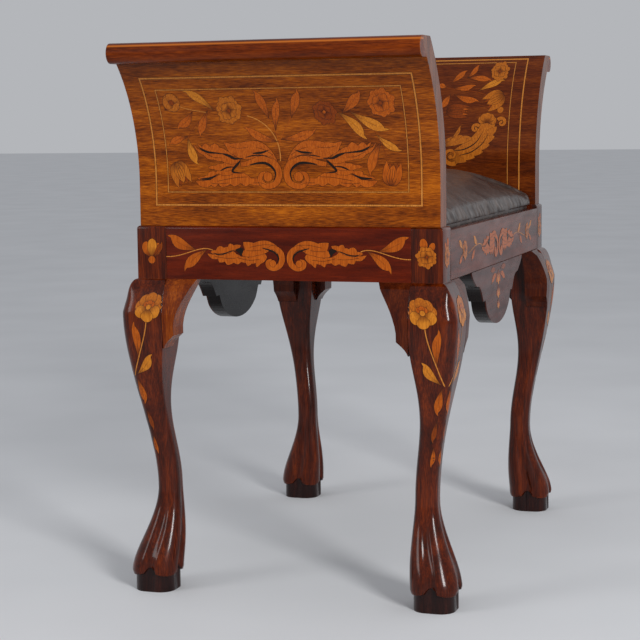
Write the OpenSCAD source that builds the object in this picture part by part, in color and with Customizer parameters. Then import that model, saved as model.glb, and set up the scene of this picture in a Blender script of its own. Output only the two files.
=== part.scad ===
// Piano stool: a mahogany frame on four carved cabriole legs, two end panels
// that curl outwards, with floral marquetry, and a drop-in padded seat.
// X runs along the seat, Y from front (-Y) to back, Z up from the floor.

/* [Overall] */
// Height from the floor to the top of the end panels
total_h = 650; // [630:1:670]
// Length of the frame under the panels
frame_l = 578; // [540:1:640]
// Depth of the frame, front face to back face
frame_w = 372; // [360:1:390]
// Height of the end panels above the frame's top edge
panel_rise = 210; // [200:1:225]

/* [Frame] */
// Height of the end rails and of the square leg tops
rail_h = 62.5; // [58:0.5:66]
// Thickness of the four rails
rail_t = 22; // [20:0.5:24]
// Side of the square leg tops
stile_w = 37; // [34:0.5:40]
// How far the front and back rails lie below the leg tops
rail_drop = 5; // [4:0.5:7]
// Radius of the eased top edges
edge_r = 3.5; // [2:0.5:4]
// Thickness of the rail tenons
tenon_t = 8; // [6:0.5:8]
// Length of the rail tenons
tenon_l = 20; // [14:0.5:20]
// Depth of a tenon's outer face behind the rail's face
tenon_in = 8; // [7:0.5:9]
// Height of the shoulder above and below a tenon
shoulder_h = 8; // [5:0.5:12]

/* [Legs] */
// How far the knee stands out past the frame
knee_out = 18; // [14:0.5:22]
// How far the ankle lies inside the frame's faces
ankle_in = 12; // [9:0.5:15]
// How far the toes stand out past the frame
toe_out = 16; // [12:0.5:18]
// Width of the leg at the ankle
ankle_w = 27; // [23:0.5:30]
// Width of the foot across the toes
foot_w = 57; // [50:0.5:60]
// Depth of the flutes between the toes
flute_d = 3.5; // [1.5:0.5:4]
// Height of the block under the toes
block_h = 20; // [16:0.5:24]
// How far the arch between two toes rises over the block's corners
arch_h = 10; // [6:0.5:12]
// How far the block stands back from the toes
block_in = 4; // [2.5:0.5:5]

/* [Knee brackets] */
// Width of a bracket under the rail
ear_w = 38; // [32:1:42]
// Height of a bracket
ear_h = 82; // [74:1:88]
// Depth of a bracket behind the frame's face
ear_t = 14; // [12:0.5:18]

/* [Drops] */
// Width of the shaped drop under the front and back rails
drop_w = 296; // [260:1:320]
// Depth of the drop below the rail
drop_h = 76; // [60:1:84]
// Thickness of the drop
drop_t = 19; // [15:0.5:20]

/* [End panels] */
// Thickness of an end panel with its veneers
panel_t = 27; // [24:0.5:28]
// How far the panel stands back from the frame's faces
panel_in = 3.5; // [2.5:0.5:5]
// Height of the upright lower part of the panel
upright_h = 50; // [46:1:58]
// Angle that the panel turns through in its curl
curl_turn = 57.4; // [50:0.2:62]
// Thickness of the veneers
veneer_t = 1.2; // [0.8:0.1:1.6]
// Height of the rounded moulding along the top
nosing_h = 23; // [18:0.5:26]
// How far the moulding stands out past the cut end of the panel
nosing_out = 15; // [12:0.5:20]
// Dowel diameter
dowel_d = 9; // [8:0.5:10]
// Dowel length
dowel_l = 50; // [40:1:56]

/* [Marquetry] */
// Width of the pale stringing
string_w = 2; // [1.5:0.1:3]
// Distance of the outer string frame from the panel's edges
string_side = 20.5; // [18:0.5:30]
// Height of the string frame's foot above the frame
string_foot = 23.5; // [20:0.5:26]
// Distance from the outer string to the inner one
string_gap = 15.5; // [13:0.5:18]
// Distance from the panel's edges to the strings on its inner face
inner_string_side = 21.5; // [19:0.5:30]
// Height of the foot of those strings above the frame
inner_string_foot = 28; // [25:0.5:30]
// Distance of their top below the panel's top
inner_string_top = 3; // [2.5:0.5:12]
// Distance between them
inner_gap = 20; // [15:0.5:22]
// Depth of the pieces let into solid wood
inlay_t = 1.2; // [0.8:0.1:1.6]

/* [Seat] */
// Thickness of the seat frame
seat_t = 16; // [14:0.5:18]
// Width of the seat frame's rails
seat_rail_w = 45; // [40:1:55]
// Depth of the rebate that carries the seat, below the rail's top
rebate_h = 12; // [10:0.5:13]
// Width of the ledge in that rebate
ledge_w = 10; // [8:0.5:11]
// Gap all round the seat in its opening
seat_gap = 1.5; // [1:0.1:2.5]
// Thickness of the leather
leather_t = 1.5; // [1.2:0.1:2]
// How far the leather turns under the seat frame
turn_under = 12; // [8:0.5:16]
// Height of the crown above the edge of the pad
crown_h = 36; // [24:1:44]
// Height of the pad's rounded side above the frame's top
side_h = 15; // [12:0.5:20]
// How far the pad swells past its frame, front and back
swell = 8; // [5:0.5:9]
// How far the long sides draw in between the corners
draw_in = 3; // [1:0.5:4]
// Width of the webbing
web_w = 50; // [45:1:54]
// Thickness of the webbing
web_t = 1.2; // [1:0.1:1.5]

/* [Hidden] */

$fn = 64;
over = 1;                  // overrun of every cut
slip = 0.02;               // clearance round a joint that is glued
half_l = frame_l / 2;
half_w = frame_w / 2;
frame_top = total_h - panel_rise;
leg_h = frame_top - rail_h;
rail_top = frame_top - rail_drop;
post_x = half_l - stile_w; // inner faces of the leg tops
post_y = half_w - stile_w;
ledge_z = rail_top - rebate_h;
seat_foot = ledge_z + leather_t;
seat_top = seat_foot + seat_t;

mahogany = "#6b2f17";
walnut = "#8a5426";
satinwood = "#c9762b";
boxwood = "#d99a4a";
beech = "#c9a473";
hide = "#3b2c28";
canvas = "#b59b6c";
horsehair = "#54483d";
black_cloth = "#26211f";
steel = "#8f8f8c";

function smooth(t) = t * t * (3 - 2 * t);
function ease(a, b, s) = smooth(max(0, min(1, (s - a) / (b - a))));

// Points of a cubic curve from a to d, drawn towards b and c
function cubic(a, b, c, d, steps) = [
    for (i = [0:steps])
        let (t = i / steps, s = 1 - t)
            s * s * s * a + 3 * s * s * t * b + 3 * s * t * t * c + t * t * t * d
];

module along_y(length) {
    translate([0, length / 2, 0])
        rotate([90, 0, 0])
            linear_extrude(length)
                children();
}

module along_x(length) {
    translate([-length / 2, 0, 0])
        rotate([90, 0, 90])
            linear_extrude(length)
                children();
}

// Sends what is drawn for the corner at +X +Y to another corner
module at_corner(sx, sy) {
    mirror([sx < 0 ? 1 : 0, 0, 0])
        mirror([0, sy < 0 ? 1 : 0, 0])
            children();
}

module at_every_corner() {
    for (sx = [-1, 1]) for (sy = [-1, 1])
        at_corner(sx, sy)
            children();
}

// Legs. Heights on a leg are shares of its height below the rail.
foot_share = 0.063;
foot_slim_share = 0.335;
ankle_share = 0.33;
calf_share = 0.385;
square_share = 0.87;
knee_share = 0.895;
foot_power = 0.88;         // how soon the foot spreads below the ankle
calf_power = 2.1;          // how late the calf widens towards the knee

// Outer face, measured out from the frame's face
function out_at(s) =
    s < ankle_share
        ? toe_out - (toe_out + ankle_in)
            * smooth(pow(max(0, s - foot_share) / (ankle_share - foot_share), foot_power))
        : s < knee_share
            ? -ankle_in + (ankle_in + knee_out) * ease(ankle_share, knee_share, s)
            : knee_out * sqrt(max(0, 1 - (s - knee_share) / (1 - knee_share)));

// Inner face, on the same measure
function in_at(s) =
    s < ankle_share
        ? out_at(s) - foot_w + (foot_w - ankle_w) * ease(foot_share, foot_slim_share, s)
        : max(-stile_w, out_at(s) - ankle_w - (stile_w + knee_out - ankle_w)
            * pow(ease(calf_share, square_share, s), calf_power));

// Radius of the outer corner and of the other three, as shares of the width
low_round_share = 0.36;
knee_round_share = 0.27;
top_round_share = 0.02;
function outer_round_share(s) =
    low_round_share - (low_round_share - knee_round_share) * ease(0.6, 0.85, s)
        - (knee_round_share - top_round_share) * ease(0.93, 1, s);
function side_round_share(s) =
    low_round_share - (low_round_share - top_round_share) * ease(0.5, 0.78, s);

corner_steps = 3;
face_steps = 3;
ring_count = 4 * (corner_steps + face_steps);

function corner_arc(cx, cy, r, start) = [
    for (i = [0:corner_steps])
        let (angle = start + 90 * i / corner_steps)
            [cx + r * cos(angle), cy + r * sin(angle)]
];

// A rounded square from lo to hi with a hollow along each face
function ring_xy(lo, hi, r_out, r_side, flute) =
    let (
        corners = [
            corner_arc(hi - r_out, hi - r_out, r_out, 0),
            corner_arc(lo + r_side, hi - r_side, r_side, 90),
            corner_arc(lo + r_side, lo + r_side, r_side, 180),
            corner_arc(hi - r_side, lo + r_side, r_side, 270)
        ],
        inward = [[0, -1], [1, 0], [0, 1], [-1, 0]]
    )
    [
        for (k = [0:3])
            let (a = corners[k], from = a[corner_steps], to = corners[(k + 1) % 4][0])
                each concat(
                    a,
                    [for (j = [1:face_steps - 1])
                        let (t = j / face_steps)
                            from + t * (to - from) + inward[k] * flute * sin(180 * t)]
                )
    ];

// Height of the arch at each point of a ring: 0 at a corner, 1 along a face
function arch_share(i) =
    let (k = i % (corner_steps + face_steps))
        k <= corner_steps
            ? pow(abs(2 * k / corner_steps - 1), 2) * 0.3
            : 0.3 + 0.7 * sin(180 * (k - corner_steps) / face_steps);

function ring(z, s, flute, inset, lift) =
    let (
        hi = out_at(s) - inset,
        lo = in_at(s) + inset,
        w = hi - lo,
        xy = ring_xy(lo, hi, w * outer_round_share(s), w * side_round_share(s), flute)
    )
        [for (i = [0:ring_count - 1])
            [half_l + xy[i][0], half_w + xy[i][1], z + lift * arch_share(i)]];

function flute_at(s) = flute_d * (1 - ease(0.1, 0.34, s));

// Rings stand closer together at the toes and at the knee
ring_steps = 24;
toe_share = (block_h + block_in) / leg_h;
function ring_share(i) =
    let (t = i / ring_steps)
        toe_share + (1 - toe_share) * (t - 0.11 * sin(360 * t));

leg_rings = concat(
    [
        ring(0, foot_share, 0, block_in, 0),
        ring(block_h - block_in / 4, foot_share, flute_d, block_in, arch_h),
        ring(block_h, foot_share, flute_d, block_in / 4, arch_h)
    ],
    [for (i = [0:ring_steps])
        let (s = ring_share(i))
            ring(leg_h * s, s, flute_at(s), s < 1 ? 0 : slip,
                arch_h * (1 - ease(toe_share, 0.2, s)))],
    [ring(leg_h + over, 1, 0, over, 0)]
);

function mean(list) = list * [for (q = list) 1] / len(list);
function middle(ring) =
    [for (k = [0:2]) mean([for (q = ring) q[k]])];

// A closed skin over a stack of rings, with a fan of triangles over each end
module loft(rings) {
    n = len(rings[0]);
    m = len(rings);
    top = (m - 1) * n;
    foot_mid = m * n;
    head_mid = foot_mid + 1;
    points = concat([for (r = rings) each r], [middle(rings[0]), middle(rings[m - 1])]);
    sides = [
        for (j = [0:m - 2]) for (i = [0:n - 1])
            let (a = j * n + i, b = j * n + (i + 1) % n)
                each [[a, a + n, b], [b, a + n, b + n]]
    ];
    foot = [for (i = [0:n - 1]) [i, (i + 1) % n, foot_mid]];
    head = [for (i = [0:n - 1]) [top + (i + 1) % n, top + i, head_mid]];
    polyhedron(points, concat(sides, foot, head));
}

// Section of a square leg top or end rail, outer face at reach, with its edge eased
module eased_section(reach, thick) {
    difference() {
        translate([reach - thick, leg_h])
            square([thick, rail_h]);
        translate([reach - edge_r, frame_top - edge_r])
            difference() {
                square(edge_r + over);
                circle(edge_r);
            }
    }
}

module mortises() {
    z0 = leg_h + shoulder_h - slip;
    h = rail_h - rail_drop - 2 * shoulder_h + 2 * slip;
    wide = tenon_t + 2 * slip;
    deep = tenon_l + over + slip;
    translate([post_x - over, half_w - tenon_in - tenon_t - slip, z0])
        cube([deep, wide, h]);
    translate([half_l - tenon_in - tenon_t - slip, post_y - over, z0])
        cube([wide, deep, h]);
}

// A leg has a round flower or a tulip let into each face of its square top
module leg(round) {
    color(mahogany)
        union() {
            loft(leg_rings);
            difference() {
                intersection() {
                    along_y(frame_w) eased_section(half_l, stile_w);
                    along_x(frame_l) eased_section(half_w, stile_w);
                }
                mortises();
                corner_screw(slip);
                post_flowers(over, round);
            }
        }
}

// Rails
tenon_h = rail_h - rail_drop - 2 * shoulder_h;

module end_rail() {
    color(mahogany)
        difference() {
            union() {
                along_y(2 * post_y)
                    eased_section(half_l, rail_t);
                translate([half_l - tenon_in - tenon_t, -post_y - tenon_l, leg_h + shoulder_h])
                    cube([tenon_t, 2 * (post_y + tenon_l), tenon_h]);
            }
            dowels(slip);
            cleat_screw_row(slip);
            end_rail_inlay(over);
        }
}

module side_rail() {
    color(mahogany)
        difference() {
            union() {
                translate([-post_x, half_w - rail_t, leg_h])
                    cube([2 * post_x, rail_t, rail_h - rail_drop]);
                translate([-post_x - tenon_l, half_w - tenon_in - tenon_t, leg_h + shoulder_h])
                    cube([2 * (post_x + tenon_l), tenon_t, tenon_h]);
            }
            translate([-half_l, half_w - rail_t - over, ledge_z])
                cube([frame_l, ledge_w + over, rebate_h + over]);
            side_rail_inlay(over);
        }
}

// The shaped drop. Its half outline is cut from the middle outwards, as shares
// of its half width and of its depth.
drop_tip_share = [[0, 1], [0.16, 1], [0.3, 0.92], [0.4, 0.78]];
drop_low_share = [[0.4, 0.78], [0.46, 0.7], [0.47, 0.6], [0.5, 0.53]];
drop_mid_share = [[0.57, 0.54], [0.62, 0.42], [0.66, 0.3], [0.73, 0.27]];
drop_top_share = [[0.82, 0.25], [0.88, 0.18], [0.97, 0.12], [1, 0]];

function drop_curve(p) =
    [for (q = cubic(p[0], p[1], p[2], p[3], 6)) [q[0] * drop_w / 2, -q[1] * drop_h]];

module drop_outline() {
    half = concat(drop_curve(drop_tip_share), drop_curve(drop_low_share),
        drop_curve(drop_mid_share), drop_curve(drop_top_share));
    other = [for (i = [len(half) - 1:-1:1]) [-half[i][0], half[i][1]]];
    polygon(concat(half, other));
}

module drop() {
    color(mahogany)
        translate([0, half_w - drop_t / 2, leg_h])
            along_y(drop_t)
                drop_outline();
}

// Knee brackets: the bracket's outline seen square on, cut by the knee's own
// curve seen from the side. Shares of the bracket's width and height.
ear_top_share = [[1, 0], [0.8, 0.2], [0.42, 0.4], [0.36, 0.68]];
ear_hook_share = [[0.36, 0.8], [0.22, 0.86], [0.08, 0.9], [0, 1]];

module ear_outline() {
    top = [for (q = cubic(ear_top_share[0], ear_top_share[1], ear_top_share[2],
        ear_top_share[3], 8)) q];
    hook = [for (q = cubic(ear_hook_share[0], ear_hook_share[1], ear_hook_share[2],
        ear_hook_share[3], 5)) q];
    polygon([for (q = concat([[0, 0]], top, hook))
        [post_y - q[0] * ear_w, leg_h - q[1] * ear_h]]);
}

ear_face_steps = 12;
module ear_face() {
    low = 1 - ear_h / leg_h;
    curve = [for (i = [0:ear_face_steps])
        let (s = low + (1 - low) * i / ear_face_steps)
            [half_l + out_at(s), leg_h * s]];
    polygon(concat([[half_l - ear_t, leg_h], [half_l - ear_t, leg_h - ear_h]], curve));
}

// Bracket under the end rail
module end_ear() {
    color(mahogany)
        intersection() {
            translate([half_l, 0, 0]) along_x(2 * (ear_t + knee_out + over)) ear_outline();
            along_y(frame_w) ear_face();
        }
}

// The same bracket turned round the corner, under the front or back rail
module side_ear() {
    translate([half_l, half_w, 0])
        mirror([1, -1, 0])
            translate([-half_l, -half_w, 0])
                end_ear();
}

// Corner blocks, screwed across the corner into the leg
block_leg = 45;            // reach of a corner block along a rail
block_low = 4;             // how far it stands above the rail's lower edge
block_z = leg_h + block_low;
corner_block_h = ledge_z - block_z - block_low;
screw_d = 4.2;
screw_head_d = 8;
screw_l = 38;
screw_mid = block_z + corner_block_h / 2;
rail_x = half_l - rail_t;
rail_y = half_w - rail_t;

module corner_block() {
    color(mahogany)
        difference() {
            translate([0, 0, block_z])
                linear_extrude(corner_block_h)
                    polygon([
                        [post_x, rail_y],
                        [post_x - block_leg, rail_y],
                        [rail_x, post_y - block_leg],
                        [rail_x, post_y],
                        [post_x, post_y]
                    ]);
            corner_screw(slip);
        }
}

// A countersunk screw along +Z with its head's face at the origin, or, with a
// gap, the hole for it
module wood_screw(d, head_d, length, gap) {
    head_h = (head_d - d) / 2;
    cylinder(d = d + 2 * gap, h = length + gap);
    cylinder(d1 = head_d + 2 * gap, d2 = d, h = head_h + gap);
    if (gap > 0)
        translate([0, 0, -over])
            cylinder(d = head_d + 2 * gap, h = over);
}

// The block's long face runs from one rail to the other; the screw stands
// square to it, at its middle, and points into the leg
block_a = [post_x - block_leg, rail_y];
block_b = [rail_x, post_y - block_leg];
block_mid = (block_a + block_b) / 2;
block_turn = atan2(block_b[0] - block_a[0], block_a[1] - block_b[1]);
module corner_screw(gap) {
    translate([block_mid[0], block_mid[1], screw_mid])
        rotate([0, 0, block_turn])
            rotate([0, 90, 0])
                wood_screw(screw_d, screw_head_d, screw_l, gap);
}

// Cleats that carry the ends of the seat
cleat_w = 22;
cleat_h = 20;
cleat_screws_share = [-0.7, 0, 0.7];
cleat_half = post_y - block_leg - over;
cleat_screw_d = 4;
cleat_head_d = 8;
cleat_screw_l = 36;

module cleat() {
    color(beech)
        difference() {
            translate([rail_x - cleat_w, -cleat_half, ledge_z - cleat_h])
                cube([cleat_w, 2 * cleat_half, cleat_h]);
            cleat_screw_row(slip);
        }
}

module cleat_screw_row(gap) {
    for (u = cleat_screws_share)
        translate([rail_x - cleat_w, u * cleat_half, ledge_z - cleat_h / 2])
            rotate([0, 90, 0])
                wood_screw(cleat_screw_d, cleat_head_d, cleat_screw_l, gap);
}

// End panels. The section stands upright and then curls out along an arc.
panel_w = frame_w - 2 * panel_in;
panel_out = half_l - panel_in;
curl_z = frame_top + upright_h;
curl_r = (panel_rise - upright_h) / sin(curl_turn);
curl_x = panel_out + curl_r;
curl_fn = 160;

// The curl is cut level at the top and upright for the moulding
nosing_z = total_h - nosing_h;
nosing_x = curl_x - sqrt(pow(curl_r, 2) - pow(nosing_z + nosing_h / 2 - curl_z, 2));

module curl_disc(depth) {
    translate([curl_x, curl_z])
        circle(curl_r + depth, $fn = curl_fn);
}

// The section between two depths behind the outer face
module panel_section(from, to) {
    translate([panel_out - to, frame_top])
        square([to - from, upright_h]);
    difference() {
        intersection() {
            curl_disc(to);
            translate([panel_out - to, curl_z])
                square([nosing_x - panel_out + to, total_h - curl_z]);
        }
        curl_disc(from);
    }
}

module panel_layer(from, to) {
    along_y(panel_w)
        panel_section(from, to);
}

module panel() {
    color(mahogany)
        difference() {
            panel_layer(veneer_t, panel_t - veneer_t);
            dowels(slip);
        }
}

// The moulding is a rounded bar, hollowed to sit on the curl
module nosing() {
    r = nosing_h / 2;
    reach = nosing_x + nosing_out - r;
    color(mahogany)
        along_y(panel_w)
            intersection() {
                translate([0, nosing_z]) {
                    translate([reach, r])
                        circle(r);
                    translate([panel_out, 0])
                        square([reach - panel_out, nosing_h]);
                }
                union() {
                    curl_disc(0);
                    translate([nosing_x, nosing_z])
                        square([nosing_out, nosing_h]);
                }
            }
}

dowel_x = half_l - rail_t + (rail_t - panel_in) / 2;
dowel_rows_share = [-0.7, -0.25, 0.25, 0.7];
module dowels(gap) {
    for (u = dowel_rows_share)
        translate([dowel_x, u * panel_w / 2, frame_top - dowel_l / 2 - gap])
            cylinder(d = dowel_d + 2 * gap, h = dowel_l + 2 * gap);
}

// Marquetry shapes, drawn flat
leaf_steps = 7;
leaf_belly_power = 0.8;    // below 1, the leaf is widest nearer its stem
leaf_tip_power = 0.9;

// A leaf from p to q, wide across and bent to one side
module leaf(p, q, wide, bend = 0) {
    run = q - p;
    length = norm(run);
    side = [-run[1], run[0]] / length;
    function spine(t) = p + run * t + side * bend * sin(180 * t);
    function half(t) =
        wide / 2 * pow(sin(180 * pow(t, leaf_belly_power)), leaf_tip_power);
    left = [for (i = [0:leaf_steps]) spine(i / leaf_steps) + side * half(i / leaf_steps)];
    right = [for (i = [leaf_steps - 1:-1:1])
        spine(i / leaf_steps) - side * half(i / leaf_steps)];
    polygon(concat(left, right));
}

// A round flower with scalloped petals
petal_notch_share = 0.78;
module blossom(place, d, petals) {
    steps = 3 * petals;
    polygon([for (i = [0:steps - 1])
        let (angle = 360 * i / steps, out = i % 3 == 0 ? petal_notch_share : 1)
            place + d / 2 * out * [cos(angle), sin(angle)]]);
}

// A tulip, longer than it is wide, with three points at its mouth
tulip_shares = [[0, -0.5], [0.42, -0.34], [0.5, 0.05], [0.36, 0.5], [0.18, 0.3],
                [0, 0.44], [-0.18, 0.3], [-0.36, 0.5], [-0.5, 0.05], [-0.42, -0.34]];
module tulip(place, wide, high, turn) {
    translate(place)
        rotate(turn)
            polygon([for (q = tulip_shares) [q[0] * wide, q[1] * high]]);
}

// A spiral band that widens as it comes out of its curl
volute_start = 200;
volute_turn = 400;
volute_steps = 14;
volute_eye_share = 0.22;   // radius at the inner end, as a share of the outer one
volute_band_share = 0.2;   // width of the band at its inner end
volute_grow_share = 0.12;  // and how much wider it is at its outer end
module volute(r) {
    function at(t, in_share) =
        let (
            angle = volute_start + volute_turn * t,
            out = volute_eye_share + (1 - volute_eye_share) * t - in_share
        )
            r * out * [cos(angle), sin(angle)];
    outer = [for (i = [0:volute_steps]) at(i / volute_steps, 0)];
    inner = [for (i = [volute_steps:-1:0])
        at(i / volute_steps, volute_band_share + volute_grow_share * i / volute_steps)];
    polygon(concat(outer, inner));
}

// One half of a scrolling acanthus leaf, with a volute at the middle and tips at
// +reach. Shares of its reach and height: tail, tip, width and bend of each lobe.
acanthus_shares = [
    [0.10, 0.42, 0.62, 0.98, 0.30, 0.16],
    [0.34, 0.56, 0.98, 0.86, 0.255, 0.10],
    [0.40, 0.42, 1.00, 0.50, 0.30, -0.06],
    [0.24, 0.26, 0.72, 0.20, 0.30, 0.10],
    [0.44, 0.18, 0.98, 0.04, 0.255, 0.08]
];
volute_out_share = 1.25;   // distance of the curl from the middle, in its radii
module acanthus(reach, high, r) {
    curl_place = [r * volute_out_share, r - high / 2];
    difference() {
        for (q = acanthus_shares)
            leaf([q[0] * reach, (q[1] - 0.5) * high], [q[2] * reach, (q[3] - 0.5) * high],
                q[4] * high, q[5] * high);
        translate(curl_place)
            circle(r + string_w / 4);
    }
    translate(curl_place)
        volute(r);
}

module mirrored_pair() {
    children();
    mirror([1, 0]) children();
}

// The sprays on an end panel's two faces. Places are shares of the half width
// and of the height of the inner string frame, from the middle of its foot. The
// inner face is the same on both halves.
string_field_w = panel_w - 2 * string_side;
string_field_h = panel_rise - string_foot - nosing_h - string_gap;
inner_field_w = panel_w - 2 * inner_string_side;
inner_field_h = panel_rise - inner_string_foot - inner_string_top;
outer_half = string_field_w / 2 - string_gap;
outer_foot = frame_top + string_foot;
outer_high = string_field_h - 2 * string_gap;
inner_half = inner_field_w / 2 - inner_gap;
inner_foot = frame_top + inner_string_foot;
inner_high = inner_field_h - inner_gap;
flower_share = 0.265;      // the large flowers, as a share of the field's height
flower_d = outer_high * flower_share;

outer_leaves_share = [
    [-0.77, 0.95, -0.55, 0.785, 0.09], [-0.72, 0.78, -0.87, 0.62, 0.09],
    [-0.59, 0.78, -0.69, 0.545, 0.08], [-0.81, 0.54, -0.96, 0.46, 0.08],
    [-0.80, 0.52, -0.73, 0.29, 0.09], [-0.05, 0.50, -0.31, 0.61, 0.10],
    [-0.10, 0.72, -0.21, 0.95, 0.10], [-0.03, 0.62, -0.04, 0.87, 0.09],
    [0.08, 0.71, 0.12, 0.96, 0.10], [0.03, 0.53, 0.26, 0.61, 0.10],
    [0.51, 0.76, 0.66, 0.93, 0.10], [0.52, 0.70, 0.86, 0.60, 0.11],
    [0.49, 0.66, 0.68, 0.50, 0.10], [0.77, 0.52, 0.94, 0.39, 0.08],
    [0.79, 0.44, 0.72, 0.20, 0.09]
];
outer_flowers_share = [[-0.42, 0.78, 1], [-0.89, 0.86, 0.68], [0.36, 0.75, 0.9],
                       [0.80, 0.82, 1]];
outer_tulips_share = [[-0.89, 0.21, 8], [0.87, 0.20, -8]];

inner_leaves_share = [
    [0.36, 0.78, 0.52, 0.89, 0.07], [0.55, 0.85, 0.63, 0.94, 0.05],
    [0.42, 0.755, 0.61, 0.76, 0.06], [0.54, 0.82, 0.73, 0.84, 0.05],
    [0.66, 0.71, 0.92, 0.78, 0.07], [0.46, 0.68, 0.67, 0.61, 0.07],
    [0.37, 0.69, 0.30, 0.56, 0.07], [0.24, 0.78, 0.34, 0.74, 0.06]
];
inner_flowers_share = [[0.84, 0.89, 0.8], [0.84, 0.61, 0.9], [0.47, 0.53, 0.95]];

tulip_w_share = 0.66;      // of a large flower's diameter
tulip_h_share = 0.92;
petal_count = 6;
module spray(leaves, flowers, tulips, unit) {
    for (q = leaves)
        leaf([q[0] * unit[0], q[1] * unit[1]], [q[2] * unit[0], q[3] * unit[1]],
            q[4] * unit[1]);
    for (q = flowers)
        blossom([q[0] * unit[0], q[1] * unit[1]], q[2] * flower_d, petal_count);
    for (q = tulips)
        tulip([q[0] * unit[0], q[1] * unit[1]], flower_d * tulip_w_share,
            flower_d * tulip_h_share, q[2]);
}

// Reach and height of each acanthus, its place and its curl's radius, as shares
// of the field and of a large flower
outer_scroll_share = [0.7, 0.42];
outer_scroll_z_share = 0.26;
outer_curl_share = 0.4;
module outer_spray() {
    translate([0, outer_foot + string_gap]) {
        spray(outer_leaves_share, outer_flowers_share, outer_tulips_share,
            [outer_half, outer_high]);
        translate([0, outer_high * outer_scroll_z_share])
            mirrored_pair()
                acanthus(outer_half * outer_scroll_share[0],
                    outer_high * outer_scroll_share[1], flower_d * outer_curl_share);
    }
}

inner_scroll_share = [0.68, 0.3];
inner_scroll_place_share = [0.3, 0.2];
inner_scroll_turn = 34;
inner_curl_share = 0.5;
small_curl_share = 0.25;
small_curl_place_share = [0.93, 0.47];
module inner_spray() {
    translate([0, inner_foot + inner_gap])
        mirrored_pair() {
            spray(inner_leaves_share, inner_flowers_share, [], [inner_half, inner_high]);
            translate([inner_half * inner_scroll_place_share[0],
                inner_high * inner_scroll_place_share[1]])
                rotate(inner_scroll_turn)
                    acanthus(inner_half * inner_scroll_share[0],
                        inner_high * inner_scroll_share[1], flower_d * inner_curl_share);
            translate([inner_half * small_curl_place_share[0],
                inner_high * small_curl_place_share[1]])
                volute(flower_d * small_curl_share);
        }
}

// One string frame, from the middle of its foot
module string_frame(foot, w, h) {
    translate([-w / 2, foot])
        difference() {
            square([w, h]);
            translate([string_w, string_w])
                square([w - 2 * string_w, h - 2 * string_w]);
        }
}

module outer_strings() {
    string_frame(outer_foot, string_field_w, string_field_h);
    string_frame(outer_foot + string_gap, 2 * outer_half, outer_high);
}

module inner_strings() {
    string_frame(inner_foot, inner_field_w, inner_field_h);
    string_frame(inner_foot + inner_gap, 2 * inner_half, inner_high - string_w - over);
}

// Pushes a drawing in the plane of the end panel through the whole curl
module through_panel() {
    translate([panel_out - panel_t - over, 0, 0])
        rotate([90, 0, 90])
            linear_extrude(curl_r)
                children();
}

module face_layer(inside) {
    from = inside ? panel_t - veneer_t : 0;
    panel_layer(from, from + veneer_t);
}

module veneer(inside) {
    color(walnut)
        difference() {
            face_layer(inside);
            through_panel() {
                if (inside) inner_spray();
                else outer_spray();
                if (inside) inner_strings();
                else outer_strings();
            }
        }
}

module panel_inlay(inside) {
    color(satinwood)
        intersection() {
            face_layer(inside);
            through_panel()
                if (inside) inner_spray();
                else outer_spray();
        }
}

module panel_strings(inside) {
    color(boxwood)
        intersection() {
            face_layer(inside);
            through_panel()
                if (inside) inner_strings();
                else outer_strings();
        }
}

// Marquetry on the rails and the leg tops, let in from the face. Places are
// shares of half the rail's length and of its height.
end_reach_share = 0.64;
side_reach_share = 0.42;
rail_scroll_share = 0.56;
rail_curl_share = 0.17;
rail_leaves_share = [[0.74, -0.02, 0.98, 0.26], [0.7, -0.04, 0.86, -0.34]];
rail_leaf_share = 0.17;

module rail_spray(half, reach_share) {
    acanthus(half * reach_share, rail_h * rail_scroll_share, rail_h * rail_curl_share);
    for (q = rail_leaves_share)
        leaf([q[0] * half, q[1] * rail_h], [q[2] * half, q[3] * rail_h],
            rail_leaf_share * rail_h);
}

module end_rail_inlay(past) {
    translate([half_l - inlay_t, 0, leg_h + rail_h / 2])
        rotate([90, 0, 90])
            linear_extrude(inlay_t + past)
                mirrored_pair()
                    rail_spray(post_y, end_reach_share);
}

module side_rail_inlay(past) {
    translate([0, half_w + past, leg_h + (rail_h - rail_drop) / 2])
        rotate([90, 0, 0])
            linear_extrude(inlay_t + past)
                mirrored_pair()
                    rail_spray(post_x, side_reach_share);
}

post_flower_w_share = 0.62;
post_flower_h_share = 0.42;
post_petal_count = 7;
module post_flower(past, round) {
    linear_extrude(inlay_t + past)
        if (round)
            blossom([0, 0], rail_h * post_flower_h_share, post_petal_count);
        else
            tulip([0, 0], stile_w * post_flower_w_share, rail_h * post_flower_h_share, 180);
}

// A flower on each outer face of one leg top
module post_flowers(past, round) {
    mid = leg_h + rail_h / 2;
    translate([half_l - inlay_t, half_w - stile_w / 2, mid])
        rotate([90, 0, 90])
            post_flower(past, round);
    translate([half_l - stile_w / 2, half_w + past, mid])
        rotate([90, 0, 0])
            post_flower(past, round);
}

// Seat frame, half-lapped, with rounded corners
seat_half_l = post_x - seat_gap - leather_t;
seat_half_w = half_w - rail_t + ledge_w - seat_gap - leather_t;
seat_corner_r = 4;

module seat_outline() {
    linear_extrude(total_h)
        for (x = [0, 1]) mirror([x, 0]) for (y = [0, 1]) mirror([0, y]) {
            translate([seat_half_l - seat_corner_r, seat_half_w - seat_corner_r])
                circle(seat_corner_r);
            square([seat_half_l - seat_corner_r, seat_half_w]);
            square([seat_half_l, seat_half_w - seat_corner_r]);
        }
}

module seat_side_rail() {
    lap = 2 * (seat_half_l - seat_rail_w);
    color(beech)
        intersection() {
            union() {
                translate([-seat_half_l, seat_half_w - seat_rail_w, seat_foot])
                    cube([2 * seat_half_l, seat_rail_w, seat_t / 2]);
                translate([-lap / 2, seat_half_w - seat_rail_w, seat_foot])
                    cube([lap, seat_rail_w, seat_t]);
            }
            seat_outline();
        }
}

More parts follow.
